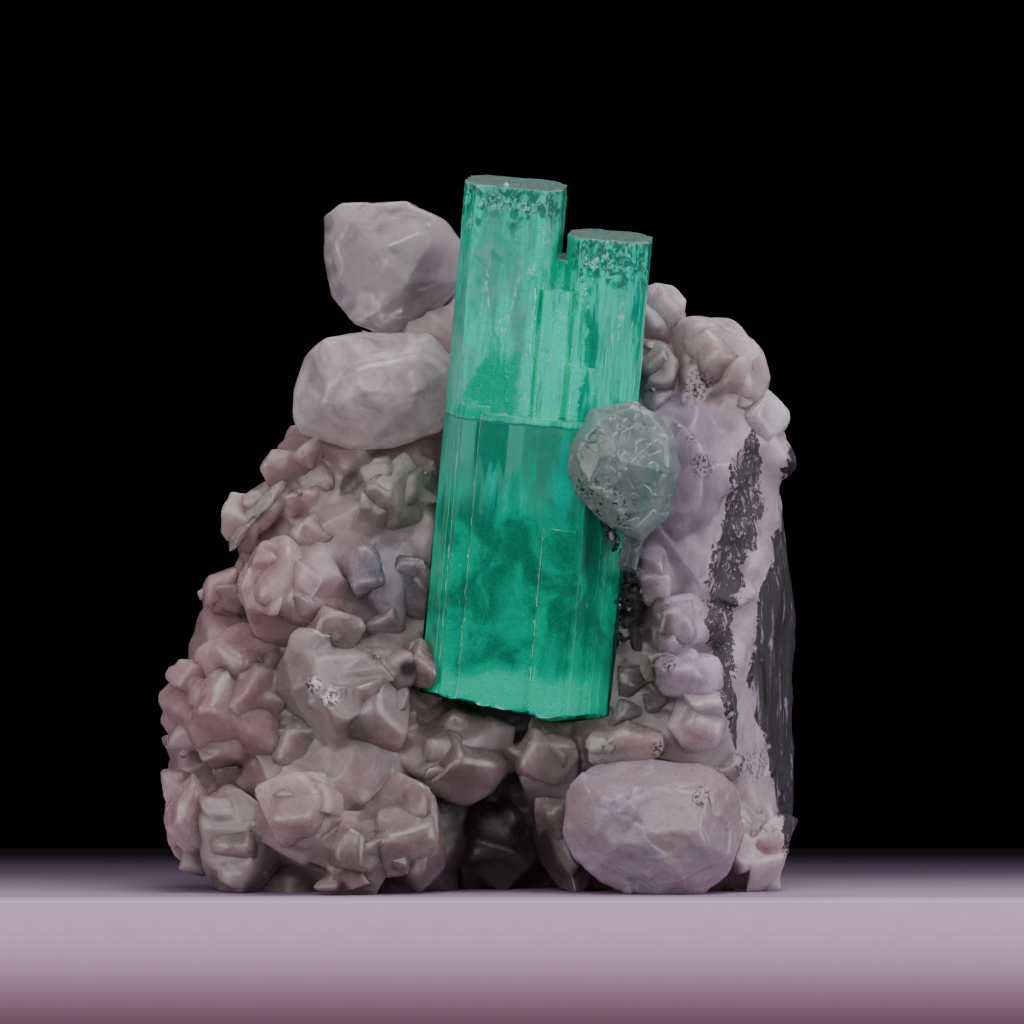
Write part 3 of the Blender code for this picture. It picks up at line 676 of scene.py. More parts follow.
def emerald_material(look):
    """Emerald: a pale streaked upper part, bright inner prisms, a deep mottled body and a milky foot."""
    shader = Shader("emerald")
    local = emerald_place(shader)
    patches = shader.noise(shader.scaled(local, (0.9, 0.9, 0.13)), 1.0, 4.0, 0.6, 0.2)
    streaks = shader.noise(shader.scaled(local, (2.2, 2.2, 0.20)), 1.0, 5.0, 0.6, 0.3)
    fibres = shader.noise(shader.scaled(local, (6.0, 6.0, 0.45)), 1.0, 4.0, 0.65)
    clouds = shader.noise(shader.scaled(local, (0.42, 0.42, 0.34)), 1.0, 5.0, 0.6, 0.7)
    cracks = shader.noise(shader.scaled(local, (0.9, 0.9, 2.2)), 1.0, 5.0, 0.7, 0.4)
    feather = shader.noise(shader.scaled(local, (4.6, 4.6, 3.2)), 1.0, 6.0, 0.8, 0.4)
    across = shader.axis(local, 0)
    along = shader.axis(local, 2)
    bent = shader.plus(across, shader.between(cracks, 0.3, 0.7, -0.22, 0.22))
    sway = shader.noise(shader.scaled(local, (0.5, 0.5, 0.4)), 1.0, 1.5)
    wavy = shader.plus(along, shader.between(sway, 0.3, 0.7, -0.35, 0.35))
    flecks = shader.noise(shader.scaled(local, (2.6, 2.6, 2.2)), 1.0, 5.0, 0.7, 0.6)
    ragged = shader.plus(along, shader.between(streaks, 0.3, 0.7, -0.6, 0.6))

    # The deep mottled body below, the pale upper part, and the bright inner prisms.
    body = shader.mix(shader.between(clouds, 0.40, 0.62), look.emerald_deep, look.emerald_body)
    pale = shader.mix(shader.between(patches, 0.38, 0.56), look.emerald_bright, look.emerald_pale)
    pale = shader.mix(shader.between(streaks, 0.47, 0.32, 0.0, 0.7), pale, look.emerald_body)
    pale = shader.mix(shader.between(fibres, 0.60, 0.74, 0.0, 0.5), pale, look.emerald_white)
    bright = shader.mix(shader.between(streaks, 0.36, 0.52), look.emerald_body, look.emerald_bright)
    bright = shader.mix(shader.between(fibres, 0.58, 0.70, 0.0, 0.6), bright, look.emerald_white)
    colour = shader.mix(shader.between(ragged, 9.6, 12.6), body, pale)
    inner = shader.times(shader.band(bent, -0.7, 2.0, 0.2), shader.between(along, 14.4, 15.0))
    inner = shader.times(inner, shader.between(ragged, 23.4, 22.0))
    veil = shader.noise(shader.scaled(local, (0.8, 0.8, 0.6)), 1.0, 6.0, 0.72, 1.0)
    veiled = shader.times(shader.between(veil, 0.5, 0.62, 0.0, 0.6), shader.between(along, 12.0, 14.0))
    colour = shader.mix(veiled, colour, look.emerald_veil)
    darker = shader.times(shader.between(veil, 0.47, 0.36, 0.0, 0.6), shader.between(along, 12.0, 14.0))
    colour = shader.mix(darker, colour, look.emerald_body)
    colour = shader.mix(inner, colour, bright)
    right = shader.times(shader.between(bent, 1.8, 2.1), shader.between(along, 13.5, 14.5))
    glow = shader.mix(shader.between(patches, 0.42, 0.55), look.emerald_deep, look.emerald_bright)
    glow = shader.mix(shader.between(streaks, 0.5, 0.65, 0.0, 0.7), glow, look.emerald_pale)
    colour = shader.mix(shader.times(right, 0.85), colour, glow)

    # The saturated wedge above the ledge, the ledge's dark rim, and the panes below it.
    wedge = shader.times(
        shader.between(bent, -1.0, -1.4),
        shader.between(shader.plus(along, shader.times(bent, -2.4)), 25.2, 24.4),
        shader.between(along, 14.7, 14.85),
        shader.between(ragged, 18.6, 17.2),
    )
    colour = shader.mix(wedge, colour, look.emerald_body)
    below = shader.times(shader.between(along, 14.8, 14.6), shader.between(ragged, 10.5, 13.0))
    colour = shader.mix(shader.times(below, 0.55), colour, look.emerald_deep)
    panes = shader.plus(shader.band(across, -4.5, -3.02, 0.04), shader.band(across, -1.35, -0.6, 0.04))
    panes = shader.times(panes, shader.between(ragged, 11.6, 12.6), shader.between(along, 14.62, 14.55))
    colour = shader.mix(shader.times(panes, 0.75), colour, look.emerald_pale)
    window = shader.times(
        shader.band(across, -3.0, -1.4, 0.04),
        shader.between(ragged, 12.0, 12.6),
        shader.between(along, 14.62, 14.55),
    )
    colour = shader.mix(shader.times(window, 0.8), colour, look.emerald_deep)
    rim = shader.band(shader.plus(along, shader.between(streaks, 0.3, 0.7, -0.05, 0.05)), 14.60, 14.68, 0.04)
    colour = shader.mix(shader.times(rim, 0.6), colour, look.emerald_shadow)

    # The dark patches at the crowns of both main prisms, and the sparkling healed cracks: pale cracks whose
    # sparkle is painted glint.
    left_crown = shader.times(shader.between(ragged, 24.0, 25.2), shader.between(bent, 0.4, 0.1))
    right_crown = shader.times(shader.between(ragged, 21.4, 22.6), shader.between(bent, 0.9, 1.1))
    crown = shader.times(shader.plus(left_crown, right_crown), shader.between(flecks, 0.44, 0.56))
    colour = shader.mix(shader.times(crown, 0.9), colour, look.emerald_shadow)
    layers = shader.noise(shader.scaled(local, (0.25, 0.25, 7.0)), 1.0, 3.0)
    milky = shader.times(shader.between(wavy, 2.9, 1.7), shader.between(layers, 0.3, 0.6, 0.85, 1.0))
    colour = shader.mix(milky, colour, look.emerald_milky)
    sparkle = None
    for place, reach in EMERALD_SPARKLES:
        node = shader.scaled(local, [1 / value for value in reach], [-p / r for p, r in zip(place, reach)])
        near = shader.between(shader.length(node), 0.5, 1.1, 1.0, 0.0)
        sparkle = near if sparkle is None else shader.value("MAXIMUM", sparkle, near)
    sparkle = shader.plus(shader.times(sparkle, 0.14), feather)
    colour = shader.mix(shader.between(sparkle, 0.66, 0.72), colour, look.emerald_spark)
    cap = shader.attribute("cap")
    colour = shader.mix(shader.between(cap, -0.2, -0.8, 0.0, 0.8), colour, look.emerald_body)
    colour = shader.mix(shader.between(cap, 0.0, 1.0), colour, look.emerald_cap)

    grain = shader.noise(local, 5.0, 4.0)
    normal = shader.bump(shader.times(fibres, shader.between(cap, 0.3, 0.0)), 0.012, 0.3)
    normal = shader.bump(grain, 0.008, 0.5, normal)
    shader.absorb(look.emerald_absorb, look.emerald_density)
    return shader.finish(
        Base_Color=colour, Metallic=0.0, Roughness=shader.between(grain, 0.3, 0.7, 0.10, 0.26),
        IOR=1.58, Transmission_Weight=look.emerald_clear, Normal=normal,
        Subsurface_Weight=0.55, Subsurface_Scale=MM, Subsurface_Radius=(0.2, 1.3, 0.9),
    )


def inclusion_material(name, first, second):
    """The pale flakes and healed cracks inside a clear crystal."""
    shader = Shader(name)
    mottle = shader.noise(shader.place, 2.0, 3.0)
    colour = shader.mix(shader.between(mottle, 0.35, 0.65), first, second)
    return shader.finish(
        Base_Color=colour, Metallic=0.0, Roughness=shader.between(mottle, 0.3, 0.7, 0.1, 0.4), IOR=1.5,
    )


def clear_material(name, look, colour, veil, clear, absorb, density, rough=0.12, specks=None):
    """Clear calcite: see-through, with milky veils and a fine frosting."""
    shader = Shader(name)
    cloud = shader.noise(shader.place, 0.42, 5.0, 0.6, 1.0)
    drawn = shader.scaled(shader.place, (0.9, 0.9, 0.5), rotation=(20, 35, 10))
    wisp = shader.noise(drawn, 1.0, 4.0, 0.6, 0.5)
    fine = shader.noise(shader.place, 2.4, 4.0, 0.6)
    tone = shader.mix(shader.between(cloud, 0.38, 0.62), colour, veil)
    panes = shader.axis(shader.cells(shader.place, 0.38, "Color", "SMOOTH_F1"), 0)
    tone = shader.mix(shader.between(panes, 0.35, 0.6, 0.0, 0.55), tone, veil)
    tone = shader.mix(shader.between(wisp, 0.52, 0.72, 0.0, 0.2), tone, look.matrix_white)
    # Painted reflections: greyer places inside the crystals.
    tone = shader.mix(shader.times(shader.dots(CLEAR_REFLECTIONS), 0.38), tone, look.clear_reflection)
    through = shader.between(cloud, 0.35, 0.65, clear, clear * 0.55)
    if specks:
        centre, radius = specks
        grit = shader.noise(shader.place, 3.2, 4.0, 0.75)
        near = shader.times(shader.ball(centre, radius, radius), shader.between(grit, 0.54, 0.6))
        tone = shader.mix(near, tone, look.shale_dark)
    normal = shader.bump(shader.noise(shader.place, 1.0, 3.0), 0.05, 0.5)
    shader.absorb(absorb, density)
    return shader.finish(
        Base_Color=tone, Metallic=0.0, Roughness=shader.between(fine, 0.3, 0.7, rough, rough + 0.1), IOR=1.5,
        Transmission_Weight=through, Normal=normal, Subsurface_Weight=0.8, Subsurface_Scale=MM,
        Subsurface_Radius=(4.0, 3.5, 3.7),
    )


def vein_place(shader):
    """The place of a point along the broken face's own directions, in millimetres from its middle."""
    moved = shader.scaled(shader.place, (1, 1, 1), location=[-value for value in VEIN_MIDDLE])
    return shader.scaled(moved, (1, 1, 1), rotation=(0, 0, -VEIN_TURN))


def matrix_material(look):
    """Pale intergrown calcite in the tone of each crystal, with the shale that is left on its broken face."""
    shader = Shader("matrix calcite")
    broad = shader.noise(shader.place, 0.30, 5.0, 0.6, 0.6)
    drawn = shader.scaled(shader.place, (1.1, 1.1, 0.7), rotation=(25, 30, 0))
    wisp = shader.noise(drawn, 1.0, 5.0, 0.65, 1.0)
    fine = shader.noise(shader.place, 1.6, 5.0, 0.65)
    grit = shader.noise(shader.place, 6.0, 4.0, 0.7)
    colour = shader.attribute("tone", "Color")
    colour = shader.mix(shader.between(broad, 0.4, 0.62, 0.0, 0.2), colour, look.matrix_grey)
    panes = shader.axis(shader.cells(shader.place, 0.42, "Color", "SMOOTH_F1"), 0)
    colour = shader.mix(shader.between(panes, 0.55, 0.3, 0.0, 0.25), colour, look.matrix_brown)
    colour = shader.mix(shader.between(panes, 0.55, 0.8, 0.0, 0.18), colour, look.matrix_white)
    colour = shader.mix(shader.between(wisp, 0.54, 0.70, 0.0, 0.3), colour, look.matrix_white)
    colour = shader.mix(shader.between(fine, 0.46, 0.32, 0.0, 0.25), colour, look.matrix_brown)
    # Painted shade: the hollows between the crystals are darkened towards brown.
    hollow = shader.between(shader.attribute("hollow"), 0.05, 0.4)
    colour = shader.mix(shader.times(hollow, 0.15), colour, look.matrix_brown)
    # Painted shadow: the hollow under the emerald is darkened towards the dark colour.
    shade = shader.plus(shader.ball((1.0, -5.0, 2.0), 2.2, 2.6), shader.ball((-1.2, -6.0, 4.6), 0.6, 2.2))
    colour = shader.mix(shader.times(shade, 0.85), colour, look.matrix_dark_and_shade)
    colour = shader.mix(shader.times(shader.dots(DARK_GAPS), 0.95), colour, look.shale_dark)
    dust = shader.times(shader.dots(DARK_SPECKS), shader.between(grit, 0.5, 0.56))
    colour = shader.mix(dust, colour, look.shale_dark)
    # Painted glints: pale spots among dark pits stand for the patch's silvery glinting.
    pits = shader.noise(shader.place, 3.4, 5.0, 0.75, 0.6)
    silver = shader.mix(shader.between(pits, 0.46, 0.54), look.matrix_dark_and_shade, look.matrix_silver)
    colour = shader.mix(shader.times(shader.dots(SILVER_PATCH), 0.9), colour, silver)

    # The broken face: a peppered black streak, a white vein, and the shale rind outside it.
    local = vein_place(shader)
    waver = shader.noise(shader.scaled(local, (1.3, 1.3, 0.8)), 1.0, 5.0, 0.7, 0.5)
    pepper = shader.noise(shader.scaled(local, (3.0, 3.0, 1.3)), 1.0, 5.0, 0.8, 0.6)
    streak = shader.plus(shader.attribute("streak"), shader.between(waver, 0.3, 0.7, -0.5, 0.5))
    inside = shader.between(streak, -0.25, 0.35)
    black = shader.between(shader.plus(pepper, shader.times(inside, 0.29)), 0.68, 0.75)
    beside = shader.band(shader.attribute("rind"), -3.6, 0.0, 0.5)
    vein = shader.times(beside, shader.between(waver, 0.3, 0.6))
    colour = shader.mix(shader.times(vein, 0.6), colour, look.matrix_white)
    rind = shader.plus(shader.attribute("rind"), shader.between(waver, 0.3, 0.7, -0.35, 0.35))
    rind = shader.between(rind, -0.08, 0.08)
    lines = shader.noise(shader.scaled(local, (2.6, 2.6, 0.30)), 1.0, 5.0, 0.75, 0.4)
    slate = shader.mix(shader.between(lines, 0.44, 0.68), look.shale_dark, look.shale_grey)
    slate = shader.mix(shader.between(lines, 0.56, 0.66, 0.0, 0.75), slate, look.matrix_lavender)
    colour = shader.mix(shader.times(black, 0.93), colour, look.shale_dark)
    flecks = shader.noise(shader.scaled(local, (4.5, 4.5, 2.6)), 1.0, 4.0, 0.8)
    colour = shader.mix(shader.times(inside, shader.between(flecks, 0.60, 0.66)), colour, look.matrix_white)
    colour = shader.mix(rind, colour, slate)

    stone = shader.value("MAXIMUM", rind, black)
    normal = shader.bump(fine, 0.07, 0.6)
    normal = shader.bump(grit, 0.02, 0.5, normal)
    normal = shader.bump(shader.times(lines, stone), 0.15, 0.8, normal)
    gloss = shader.mix(stone, shader.between(fine, 0.3, 0.7, 0.28, 0.5), (0.7, 0.7, 0.7))
    return shader.finish(
        Base_Color=colour, Metallic=0.0, Roughness=gloss, IOR=1.55, Normal=normal,
        Subsurface_Weight=shader.between(stone, 0.0, 1.0, look.matrix_glow, 0.0), Subsurface_Scale=MM,
        Subsurface_Radius=(5.0, 4.2, 4.4),
    )


def glassy_material(name, look, clear):
    """The smaller crystals of the mass, in the tone of their place: glossy, and clearer than the mass."""
    shader = Shader(name)
    fine = shader.noise(shader.place, 2.5, 4.0, 0.6)
    broad = shader.noise(shader.place, 0.7, 5.0, 0.6, 0.8)
    drawn = shader.scaled(shader.place, (1.6, 1.6, 0.8), rotation=(15, 35, 0))
    wisp = shader.noise(drawn, 1.0, 5.0, 0.65, 1.2)
    tone = shader.attribute("tone", "Color")
    colour = shader.mix(shader.between(broad, 0.45, 0.65, 0.0, 0.22), tone, look.matrix_white)
    colour = shader.mix(shader.between(wisp, 0.5, 0.38, 0.0, 0.15), colour, look.matrix_brown)
    grit = shader.noise(shader.place, 6.0, 4.0, 0.7)
    dust = shader.times(shader.dots(DARK_SPECKS), shader.between(grit, 0.5, 0.56))
    colour = shader.mix(dust, colour, look.shale_dark)
    colour = shader.mix(shader.times(shader.dots(DARK_GAPS), 0.9), colour, look.shale_dark)
    shader.absorb((0.8, 0.76, 0.78), 0.03)
    return shader.finish(
        Base_Color=colour, Metallic=0.0, Roughness=shader.between(fine, 0.3, 0.7, 0.15, 0.35), IOR=1.5,
        Transmission_Weight=shader.between(broad, 0.35, 0.65, clear, clear * 0.5), Subsurface_Weight=0.85,
        Subsurface_Scale=MM, Subsurface_Radius=(4.5, 3.8, 4.0), Normal=shader.bump(broad, 0.04, 0.5),
    )


def knob_material(look):
    """The white knob: frosted calcite with faint lines and a few brown specks."""
    shader = Shader("white calcite")
    broad = shader.noise(shader.place, 0.30, 5.0, 0.6, 0.8)
    drawn = shader.scaled(shader.place, (0.5, 0.5, 1.4), rotation=(0, 12, 0))
    wisp = shader.noise(drawn, 1.0, 5.0, 0.65, 0.8)
    fine = shader.noise(shader.place, 2.2, 5.0, 0.65)
    lines = shader.noise(shader.scaled(shader.place, (0.5, 0.5, 5.0), rotation=(0, 8, 0)), 1.0, 4.0, 0.6)
    colour = shader.mix(shader.between(broad, 0.4, 0.65), look.knob_white, look.matrix_lavender)
    colour = shader.mix(shader.between(wisp, 0.5, 0.68, 0.0, 0.5), colour, look.matrix_white)
    pink = shader.times(shader.ball((11.4, -8.5, 5.0), 1.2, 3.0), 0.7)
    colour = shader.mix(pink, colour, look.matrix_pale)
    specks = shader.between(shader.noise(shader.place, 1.3, 4.0, 0.7), 0.72, 0.76)
    colour = shader.mix(shader.times(specks, 0.7), colour, look.matrix_dark_and_shade)
    grit = shader.noise(shader.place, 6.0, 4.0, 0.7)
    dust = shader.times(shader.dots(DARK_SPECKS), shader.between(grit, 0.5, 0.56))
    colour = shader.mix(dust, colour, look.shale_dark)
    # Painted shade: the knob's hollows are darkened towards brown.
    hollow = shader.between(shader.attribute("hollow"), 0.02, 0.15)
    colour = shader.mix(shader.times(hollow, 0.25), colour, look.matrix_brown)
    normal = shader.bump(fine, 0.04, 0.5)
    normal = shader.bump(lines, 0.02, 0.5, normal)
    return shader.finish(
        Base_Color=colour, Metallic=0.0, Roughness=shader.between(fine, 0.3, 0.7, 0.24, 0.45), IOR=1.55,
        Subsurface_Weight=0.85, Subsurface_Scale=MM, Subsurface_Radius=(1.8, 1.5, 1.6), Normal=normal,
        Transmission_Weight=0.15,
    )


def shale_material(look):
    """Black shale: grey along its cleavage, with thin white veins."""
    shader = Shader("black shale")
    layered = shader.scaled(shader.place, (1, 1, 1), rotation=(0, 0, -SHALE_TURN))
    cleaved = shader.noise(shader.scaled(layered, (0.6, 5.0, 0.35)), 1.0, 5.0, 0.65)
    grit = shader.noise(shader.place, 7.0, 4.0, 0.7)
    streak = shader.noise(shader.scaled(shader.place, (2.0, 2.0, 0.3)), 1.0, 4.0, 0.6)
    colour = shader.mix(shader.between(streak, 0.40, 0.65), look.shale_dark, look.shale_grey)
    pale_lines = shader.noise(shader.scaled(shader.place, (3.2, 3.2, 0.28)), 1.0, 5.0, 0.75, 0.3)
    colour = shader.mix(shader.between(pale_lines, 0.56, 0.68, 0.0, 0.7), colour, look.matrix_lavender)
    wander = shader.noise(shader.scaled(shader.place, (0.16, 0.16, 0.07)), 1.0, 3.0, 0.5, 0.4)
    vein = shader.value("ABSOLUTE", shader.value("SUBTRACT", wander, 0.5))
    veins = shader.times(shader.between(vein, 0.012, 0.004), shader.between(cleaved, 0.4, 0.55))
    colour = shader.mix(veins, colour, look.matrix_lavender)
    normal = shader.bump(streak, 0.12, 0.8)
    normal = shader.bump(grit, 0.04, 0.7, normal)
    return shader.finish(
        Base_Color=colour, Metallic=0.0, Roughness=shader.between(grit, 0.3, 0.7, 0.45, 0.8), IOR=1.5,
        Normal=normal, Specular_IOR_Level=0.25,
    )


# Pieces

def dress(obj, material, slot, *nodes):
    """Gives a piece its material and lets it stand for its nodes on the one body; its slot is not used."""
    obj.data.materials.append(material)
    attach(obj, "root")
    if nodes:
        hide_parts(*nodes)


def crystal_piece(node, name, edge, facet, amount, seed, clear_of, relax=2, square=2.0):
    """A node's copy, cut fine, its edges eased and its faces broken into slightly tilted growth facets.

    A square above 2 swells its upper half towards its box: a point u in half sizes moves by |u|2 / |u|square.
    """
    points, faces, _ = split_long_edges(*cad_mesh(node), lambda middles: edge)
    middle = (points.max(axis=0) + points.min(axis=0)) / 2
    half = (points.max(axis=0) - points.min(axis=0)) / 2
    away = (points - middle) / half
    length = np.maximum((np.abs(away) ** square).sum(axis=1) ** (1 / square), 1e-9)
    swell = np.linalg.norm(away, axis=1) / length
    swell = 1 + (swell - 1) * smoothstep(-0.4, 0.2, away[:, 2])
    points = middle + away * np.minimum(swell, 1 / np.abs(away).max(axis=1))[:, None] * half
    free = smoothstep(0.05, 0.6, gap_to(points, clear_of)) if clear_of else np.ones(len(points))
    eased = relaxed(points, faces, relax, 0.4)
    normals = vertex_normals(eased, faces)
    height = facet_noise(eased / facet, seed, 0.8) * 0.6
    height += facet_noise(eased / (facet * 0.4), seed + 20) * 0.25
    height += layered_noise(eased / facet * 0.7, seed + 40) * 0.5
    moved = eased + normals * (height * amount * free)[:, None]
    moved = boxed(moved)
    return mesh_object(name, moved, faces, {"hollow": hollowness(moved, faces)}, 60.0)


def build_emerald(look):
    """The emerald: its faces grooved along its length, its foot hackly, and its top lightly stepped.

    The height added to each face is noise that changes quickly across the crystal and slowly along it.
    """
    edge = look.emerald_edge * 1.0
    points, faces, _ = split_long_edges(*cad_mesh("emerald"), lambda middles: edge)
    points = relaxed(points, faces, 1, 0.15)
    normals = vertex_normals(points, faces)
    foot, axes = emerald_axes()
    local = (points - foot) @ axes.T
    facing = normals @ axes.T
    side = smoothstep(0.95, 0.7, np.abs(facing[:, 2]))
    groove = layered_noise(local * (2.2, 2.2, 0.05), 3) * 0.6 + value_noise(local * (7.0, 7.0, 0.12), 8) * 0.3
    stepped = facet_noise(local * (1.1, 1.1, 0.22), 15, 0.6)
    upper = smoothstep(13.0, 17.0, local[:, 2])
    height = side * (groove * 0.06 + stepped * (0.02 + 0.06 * upper))
    broken = smoothstep(0.35, 0.8, -facing[:, 2])
    height += broken * (facet_noise(local * 0.9, 31) * 0.16 + facet_noise(local * 2.6, 41) * 0.05)
    top = smoothstep(0.45, 0.6, facing[:, 2])
    points = boxed(points + normals * (height - 0.03)[:, None])
    values = {"cap": top * (2 * smoothstep(21.5, 22.5, local[:, 2]) - 1)}
    piece = mesh_object("emerald_prisms", points, faces, values, 40.0)
    dress(piece, emerald_material(look), "emerald", "emerald")

    dice = np.random.default_rng(17)
    places = np.concatenate([dice.uniform(low, high, (count, 3)) for low, high, count, _ in EMERALD_FLAKES])
    sizes = np.concatenate([np.full(count, size) for _, _, count, size in EMERALD_FLAKES])
    sizes = sizes * np.exp(dice.normal(0, 0.4, len(sizes)))
    leans = dice.normal(0, 0.5, (len(places), 3)) * (1, 0, 1) - (0, 1, 0)
    points, faces = flakes(places @ axes + foot, unit(leans) @ axes, sizes, 0.02, dice)
    inner = mesh_object("emerald_inclusions", points, faces)
    finish = inclusion_material("emerald inclusions", look.emerald_white, look.emerald_pale)
    dress(inner, finish, "emerald")


def build_clear_crystals(look):
    """The two clear crystals and the tiny one: the solids' faces with growth steps and softened edges."""
    edge = 0.2
    for node, name, seed in (
        ("clear_calcite_upper", "clear_crystal_upper", 101),
        ("clear_calcite_lower", "clear_crystal_lower", 131),
    ):
        others = ["emerald"] + (["clear_calcite_lower"] if "upper" in name else [])
        piece = crystal_piece(node, name, edge, 3.4, 0.09, seed, others, relax=4)
        veil = look.clear_veil if name == "clear_crystal_upper" else look.clear_milk
        finish = clear_material(
            name, look, look.clear_colour, veil, look.clear_clear, look.clear_absorb, 0.05
        )
        dress(piece, finish, "clear_calcite", node)
    piece = crystal_piece("small_quartz", "tiny_quartz", 0.06, 0.5, 0.02, 161, [], relax=1)
    tiny = clear_material(
        "tiny quartz", look, look.tinted_veil, look.tinted_colour, 0.85, look.tinted_absorb, 0.1
    )
    dress(piece, tiny, "clear_calcite", "small_quartz")


def build_gap_chips(look):
    """Dark chips of shale in the gap beside the emerald: uneven flakes strewn along a path."""
    dice = np.random.default_rng(29)
    path = np.array(GAP_PATH)
    steps = dice.uniform(0, len(path) - 1.001, 90)
    low = steps.astype(int)
    part = (steps - low)[:, None]
    places = path[low] * (1 - part) + path[low + 1] * part + dice.normal(0, 1, (90, 3)) * (0.16, 0.12, 0.16)
    leans = unit(dice.normal(0, 0.6, (90, 3)) + (0, -1, 0))
    points, faces = flakes(places, leans, dice.uniform(0.12, 0.3, 90), 0.08, dice)
    chips = mesh_object("gap_chips", points, faces, sharp_angle=20.0)
    dress(chips, shale_material(look), "black_shale")


def build_tinted_crystal(look):
    """The green-tinted crystal that leans on the emerald."""
    edge = 0.1
    piece = crystal_piece(
        "green_tinted_calcite", "tinted_crystal", edge, 1.3, 0.17, 201, ["emerald", "small_quartz"], relax=6
    )
    finish = clear_material(
        "green-tinted calcite", look, look.tinted_colour, look.tinted_veil, 0.5, look.tinted_absorb, 0.12,
        rough=0.16, specks=((5.9, -10.5, 19.2), 1.3),
    )
    dress(piece, finish, "green_calcite", "green_tinted_calcite")


def build_knob(look):
    """The white knob in front: rounded, with low facets and pits."""
    edge = 0.2
    piece = crystal_piece("white_calcite_knob", "white_knob", edge, 1.7, 0.13, 231, [], relax=7, square=2.7)
    dress(piece, knob_material(look), "white_calcite", "white_calcite_knob")


def mass_tones(look, points):
    """The colour at each point: that of the tone whose reach it lies deepest in, with a soft border."""
    nearness = np.stack([
        -16.0 * np.linalg.norm(points - np.array(middle), axis=1) / reach
        for middle, reach, _, _ in MASS_TONES
    ], axis=1)
    weight = np.exp(nearness - nearness.max(axis=1, keepdims=True))
    colours = np.array([np.array(getattr(look, tone)) * bright for _, _, tone, bright in MASS_TONES])
    return weight @ colours / weight.sum(axis=1, keepdims=True)


OTHER_NODES = ("emerald", "clear_calcite_upper", "clear_calcite_lower", "green_tinted_calcite",
               "white_calcite_knob", "shale_wallrock", "small_quartz")


def build_matrix(look):
    """The mass of calcite: the solid's crystals cut fine, with low facets and rough crusts between them."""
    coarse = 1.0

    def limit(middles):
        front = smoothstep(2.0, -4.0, middles[:, 1])
        return coarse * (look.matrix_back_edge + (look.matrix_front_edge - look.matrix_back_edge) * front)

    points, faces, areas = split_long_edges(*cad_mesh("calcite_matrix"), limit)
    free = smoothstep(0.15, 0.7, gap_to(points, OTHER_NODES)) * smoothstep(0.0, 0.6, points[:, 2])
    crusty = spread(smoothstep(4.0, 1.0, point_values(areas, faces, len(points))), faces, 2)
    eased = relaxed(points, faces, 4, 0.5)
    eased = points + (eased - points) * (smoothstep(0.0, 0.3, points[:, 2]) * free)[:, None]
    normals = vertex_normals(eased, faces)
    height = facet_noise(eased / 2.8, 301, 1.2) * 0.22
    height += facet_noise(eased / 1.2, 321) * (0.03 + 0.04 * crusty)
    height += layered_noise(eased / 1.4, 341, 3) * (0.03 + 0.03 * crusty)

    # The broken face at the right is smoother, and its shale rind is broken into upright splinters.
    rind = eased[:, 0] - np.interp(eased[:, 2], *RIND)
    middle = np.interp(eased[:, 2], STREAK[0], STREAK[1])
    half = np.interp(eased[:, 2], STREAK[0], STREAK[2])
    streak = np.clip(1 - np.abs(eased[:, 0] - middle) / half, -1, 1)
    streak[(eased[:, 1] > 2.5) | (eased[:, 2] < STREAK[0, 0]) | (eased[:, 2] > STREAK[0, -1])] = -1
    face = smoothstep(-4.5, -3.5, rind) * smoothstep(24.5, 22.5, eased[:, 2])
    face *= smoothstep(4.0, 6.0, eased[:, 2])
    height *= 1 - 0.6 * face
    splinters = facet_noise(eased * (1.0, 1.0, 0.22), 361) * 0.22
    splinters += layered_noise(eased * (2.4, 2.4, 0.3), 381) * 0.06
    outer = smoothstep(-0.4, 0.3, rind)
    height = height * (1 - outer) + splinters * outer
    points = eased + normals * (height * free)[:, None]
    points[:, 2] = np.maximum(points[:, 2], 0.0)
    values = {
        "hollow": hollowness(points, faces), "tone": mass_tones(look, points), "streak": streak, "rind": rind,
    }
    points = boxed(points + (relaxed(points, faces, 2, 0.5) - points) * free[:, None])
    piece = mesh_object("calcite_mass", points, faces, values, 65.0)
    dress(piece, matrix_material(look), "grey_calcite", "calcite_matrix")
    return points, faces, free * (1 - face) * (0.1 + 0.9 * crusty)


def calcite_faces(half, seed):
    """Face directions and reaches of a calcite crystal: three pairs of rhomb faces, three of steep faces."""
    dice = np.random.default_rng(seed)
    turn = np.arange(6) * np.pi / 3
    up = (-1.0) ** np.arange(6)
    blunt = np.stack([np.cos(turn) * 0.75, np.sin(turn) * 0.75, up * 0.66], axis=1)
    steep = np.stack([np.cos(turn + 0.5), np.sin(turn + 0.5), -up * 0.22], axis=1)
    caps = np.array([[0.2, 0.1, 1.0], [-0.1, 0.2, -1.0]])
    normals = unit(np.concatenate([blunt, steep, caps]) + dice.normal(0, 0.09, (14, 3)))
    leaning = Euler(dice.uniform(-0.9, 0.9, 3)).to_matrix()
    normals = normals @ np.array(leaning).T
    reach = np.repeat((0.80, 0.97, 0.95), (6, 6, 2)) * dice.uniform(0.88, 1.1, 14)
    # Stretching by the half sizes divides each face's normal by them and moves its distance with it.
    stretched = normals / np.array(half)
    length = np.linalg.norm(stretched, axis=1)
    return stretched / length[:, None], reach / length


